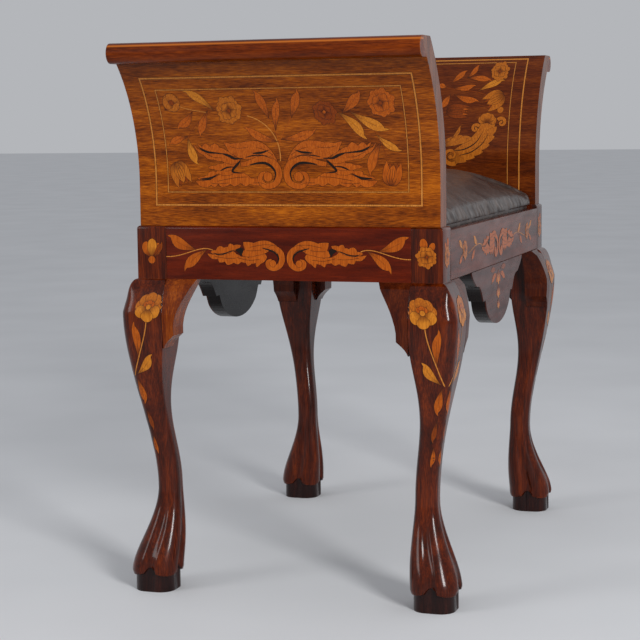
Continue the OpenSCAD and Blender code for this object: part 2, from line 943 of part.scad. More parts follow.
module seat_end_rail() {
    lap = 2 * (seat_half_w - seat_rail_w);
    color(beech)
        intersection() {
            union() {
                translate([seat_half_l - seat_rail_w, -seat_half_w, seat_foot + seat_t / 2])
                    cube([seat_rail_w, 2 * seat_half_w, seat_t / 2]);
                translate([seat_half_l - seat_rail_w, -lap / 2, seat_foot])
                    cube([seat_rail_w, lap, seat_t]);
            }
            seat_outline();
        }
}

// Woven webbing: each strip steps over and under the strips that cross it
long_webs = 4;
cross_webs = 6;
long_pitch = 2 * (seat_half_w - seat_rail_w) / long_webs;
cross_pitch = 2 * (seat_half_l - seat_rail_w) / cross_webs;

// Edge-on outline of a strip: n crossings at a pitch, up at every second one
module web_edge(n, pitch, half, phase) {
    flat = web_w / 2 + web_t;
    tops = [for (k = [0:n - 1])
        let (x = (k - (n - 1) / 2) * pitch, z = (web_t + slip) * ((k + phase) % 2))
            each [[x - flat, z], [x + flat, z]]];
    line = concat([[-half, 0]], tops, [[half, 0]]);
    polygon(concat(line, [for (i = [len(line) - 1:-1:0]) line[i] + [0, web_t]]));
}

module seat_webbing() {
    color(canvas)
        translate([0, 0, seat_top]) {
            for (k = [0:long_webs - 1])
                translate([0, (k - (long_webs - 1) / 2) * long_pitch, 0])
                    along_y(web_w)
                        web_edge(cross_webs, cross_pitch, seat_half_l - web_t, k);
            for (k = [0:cross_webs - 1])
                translate([(k - (cross_webs - 1) / 2) * cross_pitch, 0, 0])
                    along_x(web_w)
                        web_edge(long_webs, long_pitch, seat_half_w - web_t, k + 1);
        }
}

hessian_t = 0.8;
hessian_in = 8;            // margin of the hessian inside the seat frame's edge
hessian_z = seat_top + 2 * web_t + slip;
module seat_hessian() {
    color(canvas)
        translate([hessian_in - seat_half_l, hessian_in - seat_half_w, hessian_z])
            cube([2 * (seat_half_l - hessian_in), 2 * (seat_half_w - hessian_in), hessian_t]);
}

// Thin black cloth under the seat frame, between the rails and the cleats
lining_t = 0.6;
lining_l = 2 * (rail_x - cleat_w - over);
lining_w = 2 * (rail_y - over);
module seat_lining() {
    color(black_cloth)
        translate([-lining_l / 2, -lining_w / 2, ledge_z - lining_t])
            cube([lining_l, lining_w, lining_t]);
}

// The pad is a stack of rings: the skirt round the seat frame, the swelling side
// and the crown. A ring is a rounded rectangle, drawn in along its long sides.
corner_cuts = 3;
long_cuts = 8;
short_cuts = 6;

function plan_corner(x, y, r, start) = [
    for (i = [0:corner_cuts])
        let (angle = start + 90 * i / corner_cuts)
            [x + r * cos(angle), y + r * sin(angle)]
];

function between_ends(a, b, cuts) =
    [for (i = [1:cuts - 1]) a + (b - a) * i / cuts];

function pad_plan(a, b, r, inward) =
    let (
        c = [
            plan_corner(a - r, b - r, r, 0),
            plan_corner(r - a, b - r, r, 90),
            plan_corner(r - a, r - b, r, 180),
            plan_corner(a - r, r - b, r, 270)
        ],
        square_plan = concat(
            c[0], between_ends(c[0][corner_cuts], c[1][0], long_cuts),
            c[1], between_ends(c[1][corner_cuts], c[2][0], short_cuts),
            c[2], between_ends(c[2][corner_cuts], c[3][0], long_cuts),
            c[3], between_ends(c[3][corner_cuts], c[0][0], short_cuts)
        )
    )
        [for (q = square_plan) [q[0], q[1] * (1 - inward / b * (1 - pow(q[0] / a, 2)))]];

pad_gap = 0.5;             // clearance between the pad and the end panels
pad_half_l = panel_out - panel_t - pad_gap;
pad_half_w = seat_half_w + leather_t + swell;
pad_low = frame_top + 2 * pad_gap;
pad_rim_z = frame_top + side_h;
pad_corner_r = 16;
crown_x_power = 9;
crown_y_power = 3.5;

function crown_at(x, y, a, b) =
    crown_h * (1 - pow(min(1, abs(x / a)), crown_x_power))
        * (1 - pow(min(1, abs(y / b)), crown_y_power));

function flat_ring(a, b, r, inward, z) =
    [for (q = pad_plan(a, b, r, inward)) [q[0], q[1], z]];

// The side, from the skirt to the rim: how far each ring has swelled, and its
// height between the foot of the swell and the rim
side_shares = [[0.45, 0], [0.85, 0.3], [1, 0.62], [0.9, 1]];
// Size of each ring over the crown
crown_shares = [0.985, 0.95, 0.89, 0.8, 0.68, 0.54, 0.38, 0.2];

// Skin of the pad at a depth under the leather's face, from a foot upwards
function pad_rings(skin, foot_z) =
    let (
        l = seat_half_l + leather_t - skin,
        w = seat_half_w + leather_t - skin,
        r = seat_corner_r - skin / 2,
        a = pad_half_l - skin,
        b = pad_half_w - skin
    )
        concat(
            [flat_ring(l, w, r, 0, foot_z), flat_ring(l, w, r, 0, pad_low - pad_gap)],
            [for (q = side_shares)
                flat_ring(l + (a - l) * q[0], w + (b - w) * q[0],
                    r + (pad_corner_r - r) * q[0], draw_in * q[0],
                    pad_low + (pad_rim_z - skin - pad_low) * q[1])],
            [for (k = crown_shares)
                [for (q = pad_plan(a * k, b * k, pad_corner_r * k, draw_in * k))
                    [q[0], q[1], pad_rim_z - skin + crown_at(q[0], q[1], a, b)]]]
        );

// The cover is a skin of leather, open underneath inside its turned edge
module seat_cover() {
    color(hide)
        difference() {
            loft(pad_rings(0, ledge_z));
            loft(pad_rings(leather_t - slip, seat_foot));
            translate([turn_under - seat_half_l, turn_under - seat_half_w, ledge_z - over])
                cube([2 * (seat_half_l - turn_under), 2 * (seat_half_w - turn_under),
                    leather_t + 2 * over]);
        }
}

// Horsehair stuffing, from the hessian up to the leather
stuffing_z = hessian_z + hessian_t;
stuffing_gap = 0.3;
module seat_stuffing() {
    color(horsehair)
        intersection() {
            loft(pad_rings(leather_t + stuffing_gap, seat_foot));
            translate([-half_l, -half_w, stuffing_z])
                cube([frame_l, frame_w, total_h - stuffing_z]);
        }
}

// Every node in its place. Pieces for the right end and the back are drawn as
// such; the left end is turned round, the front is mirrored.
module turned() {
    rotate([0, 0, 180]) children();
}

module leg_front_left() at_corner(-1, -1) leg(true);
module leg_front_right() at_corner(1, -1) leg(true);
module leg_back_left() at_corner(-1, 1) leg(false);
module leg_back_right() at_corner(1, 1) leg(false);
module front_rail() at_corner(1, -1) side_rail();
module back_rail() side_rail();
module left_rail() turned() end_rail();
module right_rail() end_rail();
module front_drop() at_corner(1, -1) drop();
module back_drop() drop();
module ear_front_left_end() at_corner(-1, -1) end_ear();
module ear_front_left_side() at_corner(-1, -1) side_ear();
module ear_front_right_end() at_corner(1, -1) end_ear();
module ear_front_right_side() at_corner(1, -1) side_ear();
module ear_back_left_end() at_corner(-1, 1) end_ear();
module ear_back_left_side() at_corner(-1, 1) side_ear();
module ear_back_right_end() end_ear();
module ear_back_right_side() side_ear();
module corner_block_front_left() at_corner(-1, -1) corner_block();
module corner_block_front_right() at_corner(1, -1) corner_block();
module corner_block_back_left() at_corner(-1, 1) corner_block();
module corner_block_back_right() corner_block();
module corner_screws() color(steel) at_every_corner() corner_screw(0);
module left_cleat() turned() cleat();
module right_cleat() cleat();
module cleat_screws() color(steel) {
    cleat_screw_row(0);
    turned() cleat_screw_row(0);
}
module left_panel() turned() panel();
module right_panel() panel();
module left_nosing() turned() nosing();
module right_nosing() nosing();
module left_dowels() turned() color(beech) dowels(0);
module right_dowels() color(beech) dowels(0);
module left_outer_veneer() turned() veneer(false);
module right_outer_veneer() veneer(false);
module left_inner_veneer() turned() veneer(true);
module right_inner_veneer() veneer(true);
module left_outer_marquetry() turned() panel_inlay(false);
module right_outer_marquetry() panel_inlay(false);
module left_inner_marquetry() turned() panel_inlay(true);
module right_inner_marquetry() panel_inlay(true);
module left_outer_stringing() turned() panel_strings(false);
module right_outer_stringing() panel_strings(false);
module left_inner_stringing() turned() panel_strings(true);
module right_inner_stringing() panel_strings(true);
module left_rail_marquetry() turned() color(satinwood) end_rail_inlay(0);
module right_rail_marquetry() color(satinwood) end_rail_inlay(0);
module front_rail_marquetry() at_corner(1, -1) color(satinwood) side_rail_inlay(0);
module back_rail_marquetry() color(satinwood) side_rail_inlay(0);
module post_marquetry() color(satinwood)
    for (sx = [-1, 1]) for (sy = [-1, 1])
        at_corner(sx, sy)
            post_flowers(0, sy < 0);
module seat_front_rail() at_corner(1, -1) seat_side_rail();
module seat_back_rail() seat_side_rail();
module seat_left_rail() turned() seat_end_rail();
module seat_right_rail() seat_end_rail();

leg_front_left();
leg_front_right();
leg_back_left();
leg_back_right();
front_rail();
back_rail();
left_rail();
right_rail();
front_drop();
back_drop();
ear_front_left_end();
ear_front_left_side();
ear_front_right_end();
ear_front_right_side();
ear_back_left_end();
ear_back_left_side();
ear_back_right_end();
ear_back_right_side();
corner_block_front_left();
corner_block_front_right();
corner_block_back_left();
corner_block_back_right();
corner_screws();
left_cleat();
right_cleat();
cleat_screws();
left_panel();
right_panel();
left_nosing();
right_nosing();
left_dowels();
right_dowels();
left_outer_veneer();
right_outer_veneer();
left_inner_veneer();
right_inner_veneer();
left_outer_marquetry();
right_outer_marquetry();
left_inner_marquetry();
right_inner_marquetry();
left_outer_stringing();
right_outer_stringing();
left_inner_stringing();
right_inner_stringing();
left_rail_marquetry();
right_rail_marquetry();
front_rail_marquetry();
back_rail_marquetry();
post_marquetry();
seat_front_rail();
seat_back_rail();
seat_left_rail();
seat_right_rail();
seat_webbing();
seat_hessian();
seat_stuffing();
seat_cover();
seat_lining();
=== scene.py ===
import math

import bpy
import numpy as np
from mathutils import Matrix, Vector, noise
from mathutils.bvhtree import BVHTree
from mathutils.geometry import tessellate_polygon


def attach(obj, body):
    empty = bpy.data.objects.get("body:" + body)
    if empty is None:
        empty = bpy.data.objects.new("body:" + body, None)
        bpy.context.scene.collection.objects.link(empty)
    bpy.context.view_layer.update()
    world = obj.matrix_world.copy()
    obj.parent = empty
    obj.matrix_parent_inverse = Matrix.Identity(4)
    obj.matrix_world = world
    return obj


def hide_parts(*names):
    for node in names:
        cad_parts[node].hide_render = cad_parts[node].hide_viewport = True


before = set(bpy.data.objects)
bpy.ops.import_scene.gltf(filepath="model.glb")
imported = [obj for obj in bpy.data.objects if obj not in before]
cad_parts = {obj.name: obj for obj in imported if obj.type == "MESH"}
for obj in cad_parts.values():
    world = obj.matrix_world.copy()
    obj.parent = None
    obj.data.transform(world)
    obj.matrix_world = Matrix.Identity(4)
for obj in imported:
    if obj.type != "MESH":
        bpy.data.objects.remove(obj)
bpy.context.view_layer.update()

# Sizes of the stool in millimetres, as in its CAD source
MM = 0.001
TOTAL_H = 650
HALF_L = 289
HALF_W = 186
FRAME_TOP = 440
RAIL_H = 62.5
RAIL_DROP = 5
RAIL_T = 22
STILE_W = 37
EDGE_R = 3.5
LEG_H = FRAME_TOP - RAIL_H
RAIL_TOP = FRAME_TOP - RAIL_DROP
RAIL_MID = LEG_H + RAIL_H / 2
POST_X = HALF_L - STILE_W
POST_Y = HALF_W - STILE_W
REBATE_H = 12
LEDGE_W = 10

# End panels: an upright part, then a curl about one line
PANEL_IN = 3.5
PANEL_T = 27
PANEL_HALF_W = HALF_W - PANEL_IN
PANEL_OUT = HALF_L - PANEL_IN
CURL_Z = FRAME_TOP + 50
CURL_R = (TOTAL_H - CURL_Z) / math.sin(math.radians(57.4))
CURL_X = PANEL_OUT + CURL_R
VENEER_T = 1.2
NOSING_H = 23
NOSING_X = CURL_X - math.sqrt(CURL_R ** 2 - (TOTAL_H - NOSING_H / 2 - CURL_Z) ** 2)

# Seat
SEAT_HALF_L = 249
SEAT_HALF_W = 171
SEAT_FOOT = 424.5
SEAT_TOP = 440.5
PAD_RIM_Z = 455
LEATHER_T = 1.5


# Helpers for meshes

def new_mesh(name, points, faces, finishes, crisp_above):
    """A mesh from points in millimetres; an edge sharper than the angle stays crisp."""
    mesh = bpy.data.meshes.new(name)
    mesh.from_pydata([[MM * c for c in p] for p in points], [], faces)
    mesh.update()
    for finish in finishes:
        mesh.materials.append(finish)
    mesh.polygons.foreach_set("use_smooth", [True] * len(mesh.polygons))
    mesh.set_sharp_from_angle(angle=math.radians(crisp_above))
    return mesh


def new_piece(name, points, faces, body, finishes, crisp_above=35):
    """A mesh as an object of the scene that rides on a body."""
    piece = bpy.data.objects.new(name, new_mesh(name, points, faces, finishes, crisp_above))
    bpy.context.scene.collection.objects.link(piece)
    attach(piece, body)
    return piece


def skin(rings):
    """Points and faces of a closed skin over a stack of rings."""
    around = len(rings[0])
    points = [p for ring in rings for p in ring]
    faces = []
    for j in range(len(rings) - 1):
        for i in range(around):
            a = j * around + i
            b = j * around + (i + 1) % around
            faces.append((a, b, b + around, a + around))
    top = (len(rings) - 1) * around
    faces.append(tuple(range(around - 1, -1, -1)))
    faces.append(tuple(range(top, top + around)))
    return points, faces


def at_corner(points, faces, sx, sy):
    """What is drawn for the corner at +X +Y, sent to another corner."""
    moved = [(sx * x, sy * y, z) for x, y, z in points]
    return moved, [f[::-1] for f in faces] if sx * sy < 0 else faces


def joined(*shapes):
    """Several lots of points and faces as one."""
    points, faces = [], []
    for more_points, more_faces in shapes:
        faces += [tuple(len(points) + i for i in f) for f in more_faces]
        points += list(more_points)
    return points, faces


def smooth(t):
    return t * t * (3 - 2 * t)


def ease(a, b, s):
    return smooth(min(1.0, max(0.0, (s - a) / (b - a))))


def cubic(a, b, c, d):
    """Points of a curve from a to d, drawn towards b and c."""
    steps = 12
    a, b, c, d = (np.array(p, float) for p in (a, b, c, d))
    t = np.linspace(0, 1, steps + 1)[:, None]
    s = 1 - t
    return s ** 3 * a + 3 * s * s * t * b + 3 * s * t * t * c + t ** 3 * d


def through(points, steps=7):
    """Points of a smooth curve that passes through the points given."""
    p = np.array(points, float)
    p = np.concatenate([[2 * p[0] - p[1]], p, [2 * p[-1] - p[-2]]])
    line = []
    for a, b, c, d in zip(p, p[1:], p[2:], p[3:]):
        for t in np.arange(steps) / steps:
            line.append(0.5 * (2 * b + (c - a) * t + (2 * a - 5 * b + 4 * c - d) * t ** 2
                               + (3 * b - a - 3 * c + d) * t ** 3))
    return np.array(line + [p[-2]])


# Helpers for materials

def linear(colour):
    """An sRGB hex colour as linear red, green, blue and alpha."""
    values = []
    for i in (1, 3, 5):
        c = int(colour[i:i + 2], 16) / 255
        values.append(c / 12.92 if c <= 0.04045 else ((c + 0.055) / 1.055) ** 2.4)
    return (*values, 1.0)


def add(tree, kind, inputs=None, out=None, stops=None, **settings):
    """Adds a node with its settings, links, values and ramp, and gives one output."""
    node = tree.nodes.new(kind)
    for setting, value in settings.items():
        setattr(node, setting, value)
    if stops:
        ramp = node.color_ramp.elements
        while len(ramp) < len(stops):
            ramp.new(0.5)
        for element, (share, colour) in zip(ramp, stops):
            element.position = share
            element.color = linear(colour)
    for name, value in (inputs or {}).items():
        if isinstance(name, int):
            socket = node.inputs[name]
        else:
            socket = next(s for s in node.inputs if s.enabled and s.name == name)
        if isinstance(value, bpy.types.NodeSocket):
            tree.links.new(value, socket)
        else:
            socket.default_value = linear(value) if isinstance(value, str) else value
    if out:
        return node.outputs[out]
    return next((s for s in node.outputs if s.enabled), None)


def new_material(name):
    """An empty material: the material, its node tree and the place on the object."""
    material = bpy.data.materials.new(name)
    material.use_nodes = True
    material.node_tree.nodes.clear()
    place = add(material.node_tree, "ShaderNodeTexCoord", out="Object")
    return material, material.node_tree, place


# The axes, as places in a list
X, Y, Z = 0, 1, 2


def grain(tree, place, across, length, along, detail=3.0, apart=0.0):
    """Cloudy streaks drawn out along one axis: their width and length in millimetres."""
    scale = [1 / (across * MM)] * 3
    scale[along] = 1 / (length * MM)
    drawn = add(tree, "ShaderNodeMapping",
                {"Vector": place, "Scale": scale, "Location": (apart, apart, apart)})
    return add(tree, "ShaderNodeTexNoise",
               {"Vector": drawn, "Scale": 1.0, "Detail": detail, "Roughness": 0.6})


def handled_edges(tree, radius):
    """A normal that rounds sharp edges, and how near each point is to such an edge."""
    rounded = add(tree, "ShaderNodeBevel", {"Radius": radius * MM}, samples=4)
    flat = add(tree, "ShaderNodeNewGeometry", out="Normal")
    facing = add(tree, "ShaderNodeVectorMath", {0: rounded, 1: flat}, out="Value",
                 operation="DOT_PRODUCT")
    return rounded, add(tree, "ShaderNodeMapRange",
                        {"Value": facing, "From Min": 0.99, "From Max": 0.8})


def polished_wood(name, dark, middle, light, along, fleck=(1.3, 15), band=(11, 120),
                  fleck_share=0.5, roughness=0.24, rubbed=None, edge=0.7, painted_highlight_at=None,
                  painted_shade_within=None, shellac=0.1):
    """French-polished wood. Flecks and broad bands of figure run along the grain with
    short dark pores between them, drawn coarser than real so that they show. A thin hard
    film of shellac over them mirrors the lights softly. It is rubbed paler along edges,
    if rubbed gives that colour. The same colour paints a pale line at a given height, a
    painted highlight for light caught on a rounded edge. What lies nearer the middle than
    a given depth is painted nearly black, a painted shade where shade falls."""
    material, tree, place = new_material(name)
    flecks = grain(tree, place, *fleck, along)
    bands = grain(tree, place, *band, along, detail=2.0, apart=7.3)
    pores = grain(tree, place, 0.45, 7, along, detail=1.0, apart=3.1)
    figure = add(tree, "ShaderNodeMix", {"Factor": fleck_share, "A": bands, "B": flecks},
                 data_type="FLOAT")
    colour = add(tree, "ShaderNodeValToRGB", {"Fac": figure},
                 stops=[(0.36, dark), (0.5, middle), (0.66, light)])
    pores = add(tree, "ShaderNodeMapRange",
                {"Value": pores, "From Min": 0.6, "From Max": 0.74, "To Max": 0.55})
    colour = add(tree, "ShaderNodeMix", {"Factor": pores, "A": colour, "B": "#5b4036"},
                 data_type="RGBA", blend_type="MULTIPLY")
    rounded, near_edge = handled_edges(tree, edge)
    if rubbed:
        wear = grain(tree, place, 6, 9, along, detail=2.0, apart=11.7)
        wear = add(tree, "ShaderNodeMapRange",
                   {"Value": wear, "From Min": 0.42, "From Max": 0.62})
        wear = add(tree, "ShaderNodeMath", {0: wear, 1: near_edge}, operation="MULTIPLY")
        colour = add(tree, "ShaderNodeMix", {"Factor": wear, "A": colour, "B": rubbed},
                     data_type="RGBA")
    # Painted highlight: a pale line in the rubbed colour along the given height, for light caught
    # on a rounded top edge.
    if painted_highlight_at:
        height = add(tree, "ShaderNodeSeparateXYZ", {"Vector": place}, out="Z")
        away = add(tree, "ShaderNodeMath", {0: height, 1: painted_highlight_at * MM}, operation="SUBTRACT")
        away = add(tree, "ShaderNodeMath", {0: away}, operation="ABSOLUTE")
        painted_highlight = add(tree, "ShaderNodeMapRange",
                   {"Value": away, "From Min": 0.5 * MM, "From Max": 1.5 * MM,
                    "To Min": 0.85, "To Max": 0.0})
        colour = add(tree, "ShaderNodeMix", {"Factor": painted_highlight, "A": colour, "B": rubbed},
                     data_type="RGBA")
    # Painted shade: wood nearer the middle than the given depth is painted nearly black, for the
    # shade on a drop's cut edges and inner face.
    if painted_shade_within:
        depth = add(tree, "ShaderNodeSeparateXYZ", {"Vector": place}, out="Y")
        depth = add(tree, "ShaderNodeMath", {0: depth}, operation="ABSOLUTE")
        painted_shade = add(tree, "ShaderNodeMapRange",
                    {"Value": depth, "From Min": painted_shade_within * MM,
                     "From Max": (painted_shade_within - 1) * MM})
        colour = add(tree, "ShaderNodeMix", {"Factor": painted_shade, "A": colour, "B": "#150e0d"},
                     data_type="RGBA")
    film = grain(tree, place, 18, 60, along, detail=2.0, apart=1.9)
    film = add(tree, "ShaderNodeMapRange",
               {"Value": film, "From Min": 0.3, "From Max": 0.7,
                "To Min": roughness - 0.05, "To Max": roughness + 0.09})
    relief = add(tree, "ShaderNodeBump",
                 {"Strength": 0.12, "Distance": 0.15 * MM, "Height": flecks,
                  "Normal": rounded})
    shader = add(tree, "ShaderNodeBsdfPrincipled",
                 {"Base Color": colour, "Roughness": film, "IOR": 1.5,
                  "Specular IOR Level": 0.12, "Coat Weight": shellac, "Coat Roughness": 0.09,
                  "Coat IOR": 1.45, "Normal": relief})
    add(tree, "ShaderNodeOutputMaterial", {"Surface": shader})
    return material


def marquetry_wood(name, dark, light, scorch):
    """Thin veneer cut for marquetry. Close grain, and one end of each piece scorched in
    hot sand, so that it darkens softly towards its base and the flower looks round."""
    material, tree, place = new_material(name)
    lines = grain(tree, place, 0.9, 11, Z)
    colour = add(tree, "ShaderNodeValToRGB", {"Fac": lines}, stops=[(0.36, dark), (0.64, light)])
    share = add(tree, "ShaderNodeAttribute", out="Fac", attribute_name="scorch")
    mottle = grain(tree, place, 4, 4, Z, detail=2.0, apart=5.0)
    share = add(tree, "ShaderNodeMath", {0: mottle, 1: 0.25, 2: share},
                operation="MULTIPLY_ADD")
    burn = add(tree, "ShaderNodeMapRange",
               {"Value": share, "From Min": 0.85, "From Max": 0.15, "To Max": 0.85})
    colour = add(tree, "ShaderNodeMix", {"Factor": burn, "A": colour, "B": scorch},
                 data_type="RGBA")
    shader = add(tree, "ShaderNodeBsdfPrincipled",
                 {"Base Color": colour, "Roughness": 0.27, "IOR": 1.5,
                  "Specular IOR Level": 0.12, "Coat Weight": 0.1, "Coat Roughness": 0.09,
                  "Coat IOR": 1.45})
    add(tree, "ShaderNodeOutputMaterial", {"Surface": shader})
    return material


def black_wood(name, colour):
    """Ebonised wood and glue lines: nearly black with a trace of brown grain, polished
    flush with the rest."""
    material, tree, place = new_material(name)
    lines = grain(tree, place, 0.8, 6, Z)
    colour = add(tree, "ShaderNodeMix", {"Factor": lines, "A": colour, "B": "#24140c"},
                 data_type="RGBA")
    shader = add(tree, "ShaderNodeBsdfPrincipled",
                 {"Base Color": colour, "Roughness": 0.3, "IOR": 1.5,
                  "Specular IOR Level": 0.2})
    add(tree, "ShaderNodeOutputMaterial", {"Surface": shader})
    return material


def planed_beech():
    """Beech, planed and left bare: pale, matt, with short brown rays."""
    material, tree, place = new_material("planed_beech")
    lines = grain(tree, place, 1.6, 40, X)
    rays = grain(tree, place, 0.5, 3, X, detail=1.0, apart=4.0)
    colour = add(tree, "ShaderNodeValToRGB", {"Fac": lines},
                 stops=[(0.35, "#a67c50"), (0.65, "#cda777")])
    rays = add(tree, "ShaderNodeMapRange",
               {"Value": rays, "From Min": 0.6, "From Max": 0.7, "To Max": 0.4})
    colour = add(tree, "ShaderNodeMix", {"Factor": rays, "A": colour, "B": "#8a5c38"},
                 data_type="RGBA")
    relief = add(tree, "ShaderNodeBump",
                 {"Strength": 0.3, "Distance": 0.2 * MM, "Height": lines})
    shader = add(tree, "ShaderNodeBsdfPrincipled",
                 {"Base Color": colour, "Roughness": 0.62, "Normal": relief})
    add(tree, "ShaderNodeOutputMaterial", {"Surface": shader})
    return material


def turned_steel():
    """Screws turned from plain steel, now dull: grey metal with brown rust in patches."""
    material, tree, place = new_material("turned_steel")
    patches = grain(tree, place, 1.5, 1.5, Z)
    colour = add(tree, "ShaderNodeValToRGB", {"Fac": patches},
                 stops=[(0.45, "#8b8883"), (0.62, "#5a4030")])
    rough = add(tree, "ShaderNodeMapRange", {"Value": patches, "To Min": 0.3, "To Max": 0.65})
    shader = add(tree, "ShaderNodeBsdfPrincipled",
                 {"Base Color": colour, "Metallic": 0.85, "Roughness": rough})
    add(tree, "ShaderNodeOutputMaterial", {"Surface": shader})
    return material


def waxed_hide():
    """Old hide, dyed dark and waxed for years. It is almost black-brown, with pale streaks
    down its sides that are partly rubbed wear and partly a painted sheen, stronger below the
    rim than on top, a pebbled grain of about a millimetre, drawn a little coarse so that it
    shows, and a soft broad sheen."""
    material, tree, place = new_material("waxed_hide")
    clouds = grain(tree, place, 38, 38, Z)
    streaks_and_sheen = grain(tree, place, 6, 50, Z, apart=2.2)
    colour = add(tree, "ShaderNodeValToRGB", {"Fac": clouds},
                 stops=[(0.35, "#231b18"), (0.6, "#3d302a")])
    streaks_and_sheen = add(tree, "ShaderNodeMapRange", {"Value": streaks_and_sheen, "From Min": 0.46, "From Max": 0.68})
    high = add(tree, "ShaderNodeSeparateXYZ", {"Vector": place}, out="Z")
    # Painted sheen: the pale streaks are strong down the sides below the rim and faint on top.
    side = add(tree, "ShaderNodeMapRange",
               {"Value": high, "From Min": (PAD_RIM_Z + 16) * MM, "From Max": PAD_RIM_Z * MM,
                "To Min": 0.08, "To Max": 0.6})
    streaks_and_sheen = add(tree, "ShaderNodeMath", {0: streaks_and_sheen, 1: side}, operation="MULTIPLY")
    colour = add(tree, "ShaderNodeMix", {"Factor": streaks_and_sheen, "A": colour, "B": "#6e615a"},
                 data_type="RGBA")
    pebbles = add(tree, "ShaderNodeTexVoronoi", {"Vector": place, "Scale": 1 / (1.1 * MM)})
    creases = grain(tree, place, 5, 34, Z, detail=4.0, apart=9.0)
    height = add(tree, "ShaderNodeMath", {0: pebbles, 1: 0.25, 2: creases},
                 operation="MULTIPLY_ADD")
    relief = add(tree, "ShaderNodeBump",
                 {"Strength": 0.22, "Distance": 0.6 * MM, "Height": height})
    gloss = add(tree, "ShaderNodeMapRange", {"Value": clouds, "To Min": 0.3, "To Max": 0.5})
    shader = add(tree, "ShaderNodeBsdfPrincipled",
                 {"Base Color": colour, "Roughness": gloss, "IOR": 1.5, "Coat Weight": 0.15,
                  "Coat Roughness": 0.25, "Normal": relief})
    add(tree, "ShaderNodeOutputMaterial", {"Surface": shader})
    return material


def woven_cloth(name, dark, light, thread):
    """Plain woven cloth: threads over and under each other, a thread's width apart, with
    thicker slubs here and there. It is matt, with a little fuzz. The threads of cotton
    are drawn coarser than real so that they show."""
    material, tree, place = new_material(name)
    cell = add(tree, "ShaderNodeTexChecker",
               {"Vector": place, "Scale": 1 / (thread * MM), "Color1": dark, "Color2": light})
    raised = add(tree, "ShaderNodeTexChecker",
                 {"Vector": place, "Scale": 1 / (thread * MM)}, out="Fac")
    slubs = grain(tree, place, 2, 30, X)
    slubs = add(tree, "ShaderNodeValToRGB", {"Fac": slubs},
                stops=[(0.3, "#8c8c8c"), (0.7, "#ffffff")])
    colour = add(tree, "ShaderNodeMix", {"Factor": 0.5, "A": cell, "B": slubs},
                 data_type="RGBA", blend_type="MULTIPLY")
    relief = add(tree, "ShaderNodeBump",
                 {"Strength": 0.6, "Distance": 0.3 * MM, "Height": raised})
    shader = add(tree, "ShaderNodeBsdfPrincipled",
                 {"Base Color": colour, "Roughness": 0.9, "Sheen Weight": 0.2,
                  "Normal": relief})
    add(tree, "ShaderNodeOutputMaterial", {"Surface": shader})
    return material


# The finishes of this stool
leg_mahogany = polished_wood("leg_mahogany", "#270800", "#441200", "#6c2702", Z,
                             fleck=(1.2, 26), rubbed="#7a3c16", roughness=0.2, shellac=0.32)
# The small block under the toes: the leg's wood painted darker, a painted shade under the toes.
foot_shade_painted_mahogany = polished_wood("foot_shade_painted_mahogany", "#160605", "#200b08", "#32140e", Z,
                              rubbed="#5e3428", shellac=0.3)
end_rail_mahogany = polished_wood("end_rail_mahogany", "#3c0b01", "#501301", "#661d03", Y,
                                  fleck=(1.0, 18), rubbed="#94532c", fleck_share=0.35)
side_rail_mahogany = polished_wood("side_rail_mahogany", "#3a170f", "#502216", "#663022", X,
                                   fleck=(1.0, 18), rubbed="#a5714e", fleck_share=0.35)
bracket_mahogany = polished_wood("bracket_mahogany", "#4a1702", "#6c2a03", "#934608", Z,
                                 fleck=(1.5, 26))
# The drop's finish paints all but its outer millimetre nearly black: a painted shade on its cut
# edges and inner face.
drop_mahogany_shade_painted = polished_wood("drop_mahogany_shade_painted", "#30150f", "#451e16", "#592a1f", X,
                              fleck=(1.0, 18), painted_shade_within=HALF_W - 1)
plain_mahogany = polished_wood("plain_mahogany", "#2c0c05", "#431606", "#5e2509", Z,
                               fleck=(1.2, 20))
core_mahogany = polished_wood("core_mahogany", "#4a2415", "#6a3a24", "#835037", Z,
                              fleck=(1.2, 20), rubbed="#a98562")
# The nosing's rubbed colour is both pale wear along its edges and a painted highlight: a pale
# line along its rounded top edge at the height given, for light caught there.
nosing_mahogany_highlight_painted = polished_wood("nosing_mahogany_highlight_painted", "#3c1100", "#602200", "#803501", Y,
                                fleck=(1.1, 14), rubbed="#b8641e", edge=1.6,
                                painted_highlight_at=TOTAL_H - 3.6)
outer_veneer = polished_wood("outer_veneer", "#481b02", "#803b04", "#b25f0c", Y,
                             fleck=(0.8, 12), band=(16, 110), fleck_share=0.6)
inner_veneer = polished_wood("inner_veneer", "#3a1404", "#5a2306", "#7c3b0c", Y,
                             fleck=(0.8, 12), band=(16, 110), fleck_share=0.6)
honey_satinwood = marquetry_wood("honey_satinwood", "#8d4710", "#b5671a", "#4e1f06")
satinwood = marquetry_wood("satinwood", "#8b3d08", "#b25812", "#431806")
yellow_boxwood = marquetry_wood("yellow_boxwood", "#a25c14", "#c87c24", "#602c0a")
russet_pear = marquetry_wood("russet_pear", "#6a2907", "#843c0a", "#3c1404")
pale_boxwood = marquetry_wood("pale_boxwood", "#a0601f", "#c67f38", "#a0601f")
ebonised = black_wood("ebonised", "#0e0706")
glue_line = black_wood("glue_line", "#2a0f06")
beech = planed_beech()
steel = turned_steel()
hide = waxed_hide()
jute = woven_cloth("jute_webbing", "#8d7546", "#c0a470", 1.6)
hessian = woven_cloth("hessian_cloth", "#8a7042", "#b3955c", 1.4)
black_cotton = woven_cloth("black_cotton", "#141314", "#262425", 0.8)


# The photograph's camera, fitted to the rails, panels and feet
PHOTO_SIZE = 640
CAMERA_PLACE = (-2203.2, -665.9, 559.0)
CAMERA_YAW = 0.3242
CAMERA_PITCH = -0.1162
CAMERA_ROLL = -0.0124
FOCAL_PIXELS = 1763.5
MIDDLE_PIXEL = (305.35, 328.0)


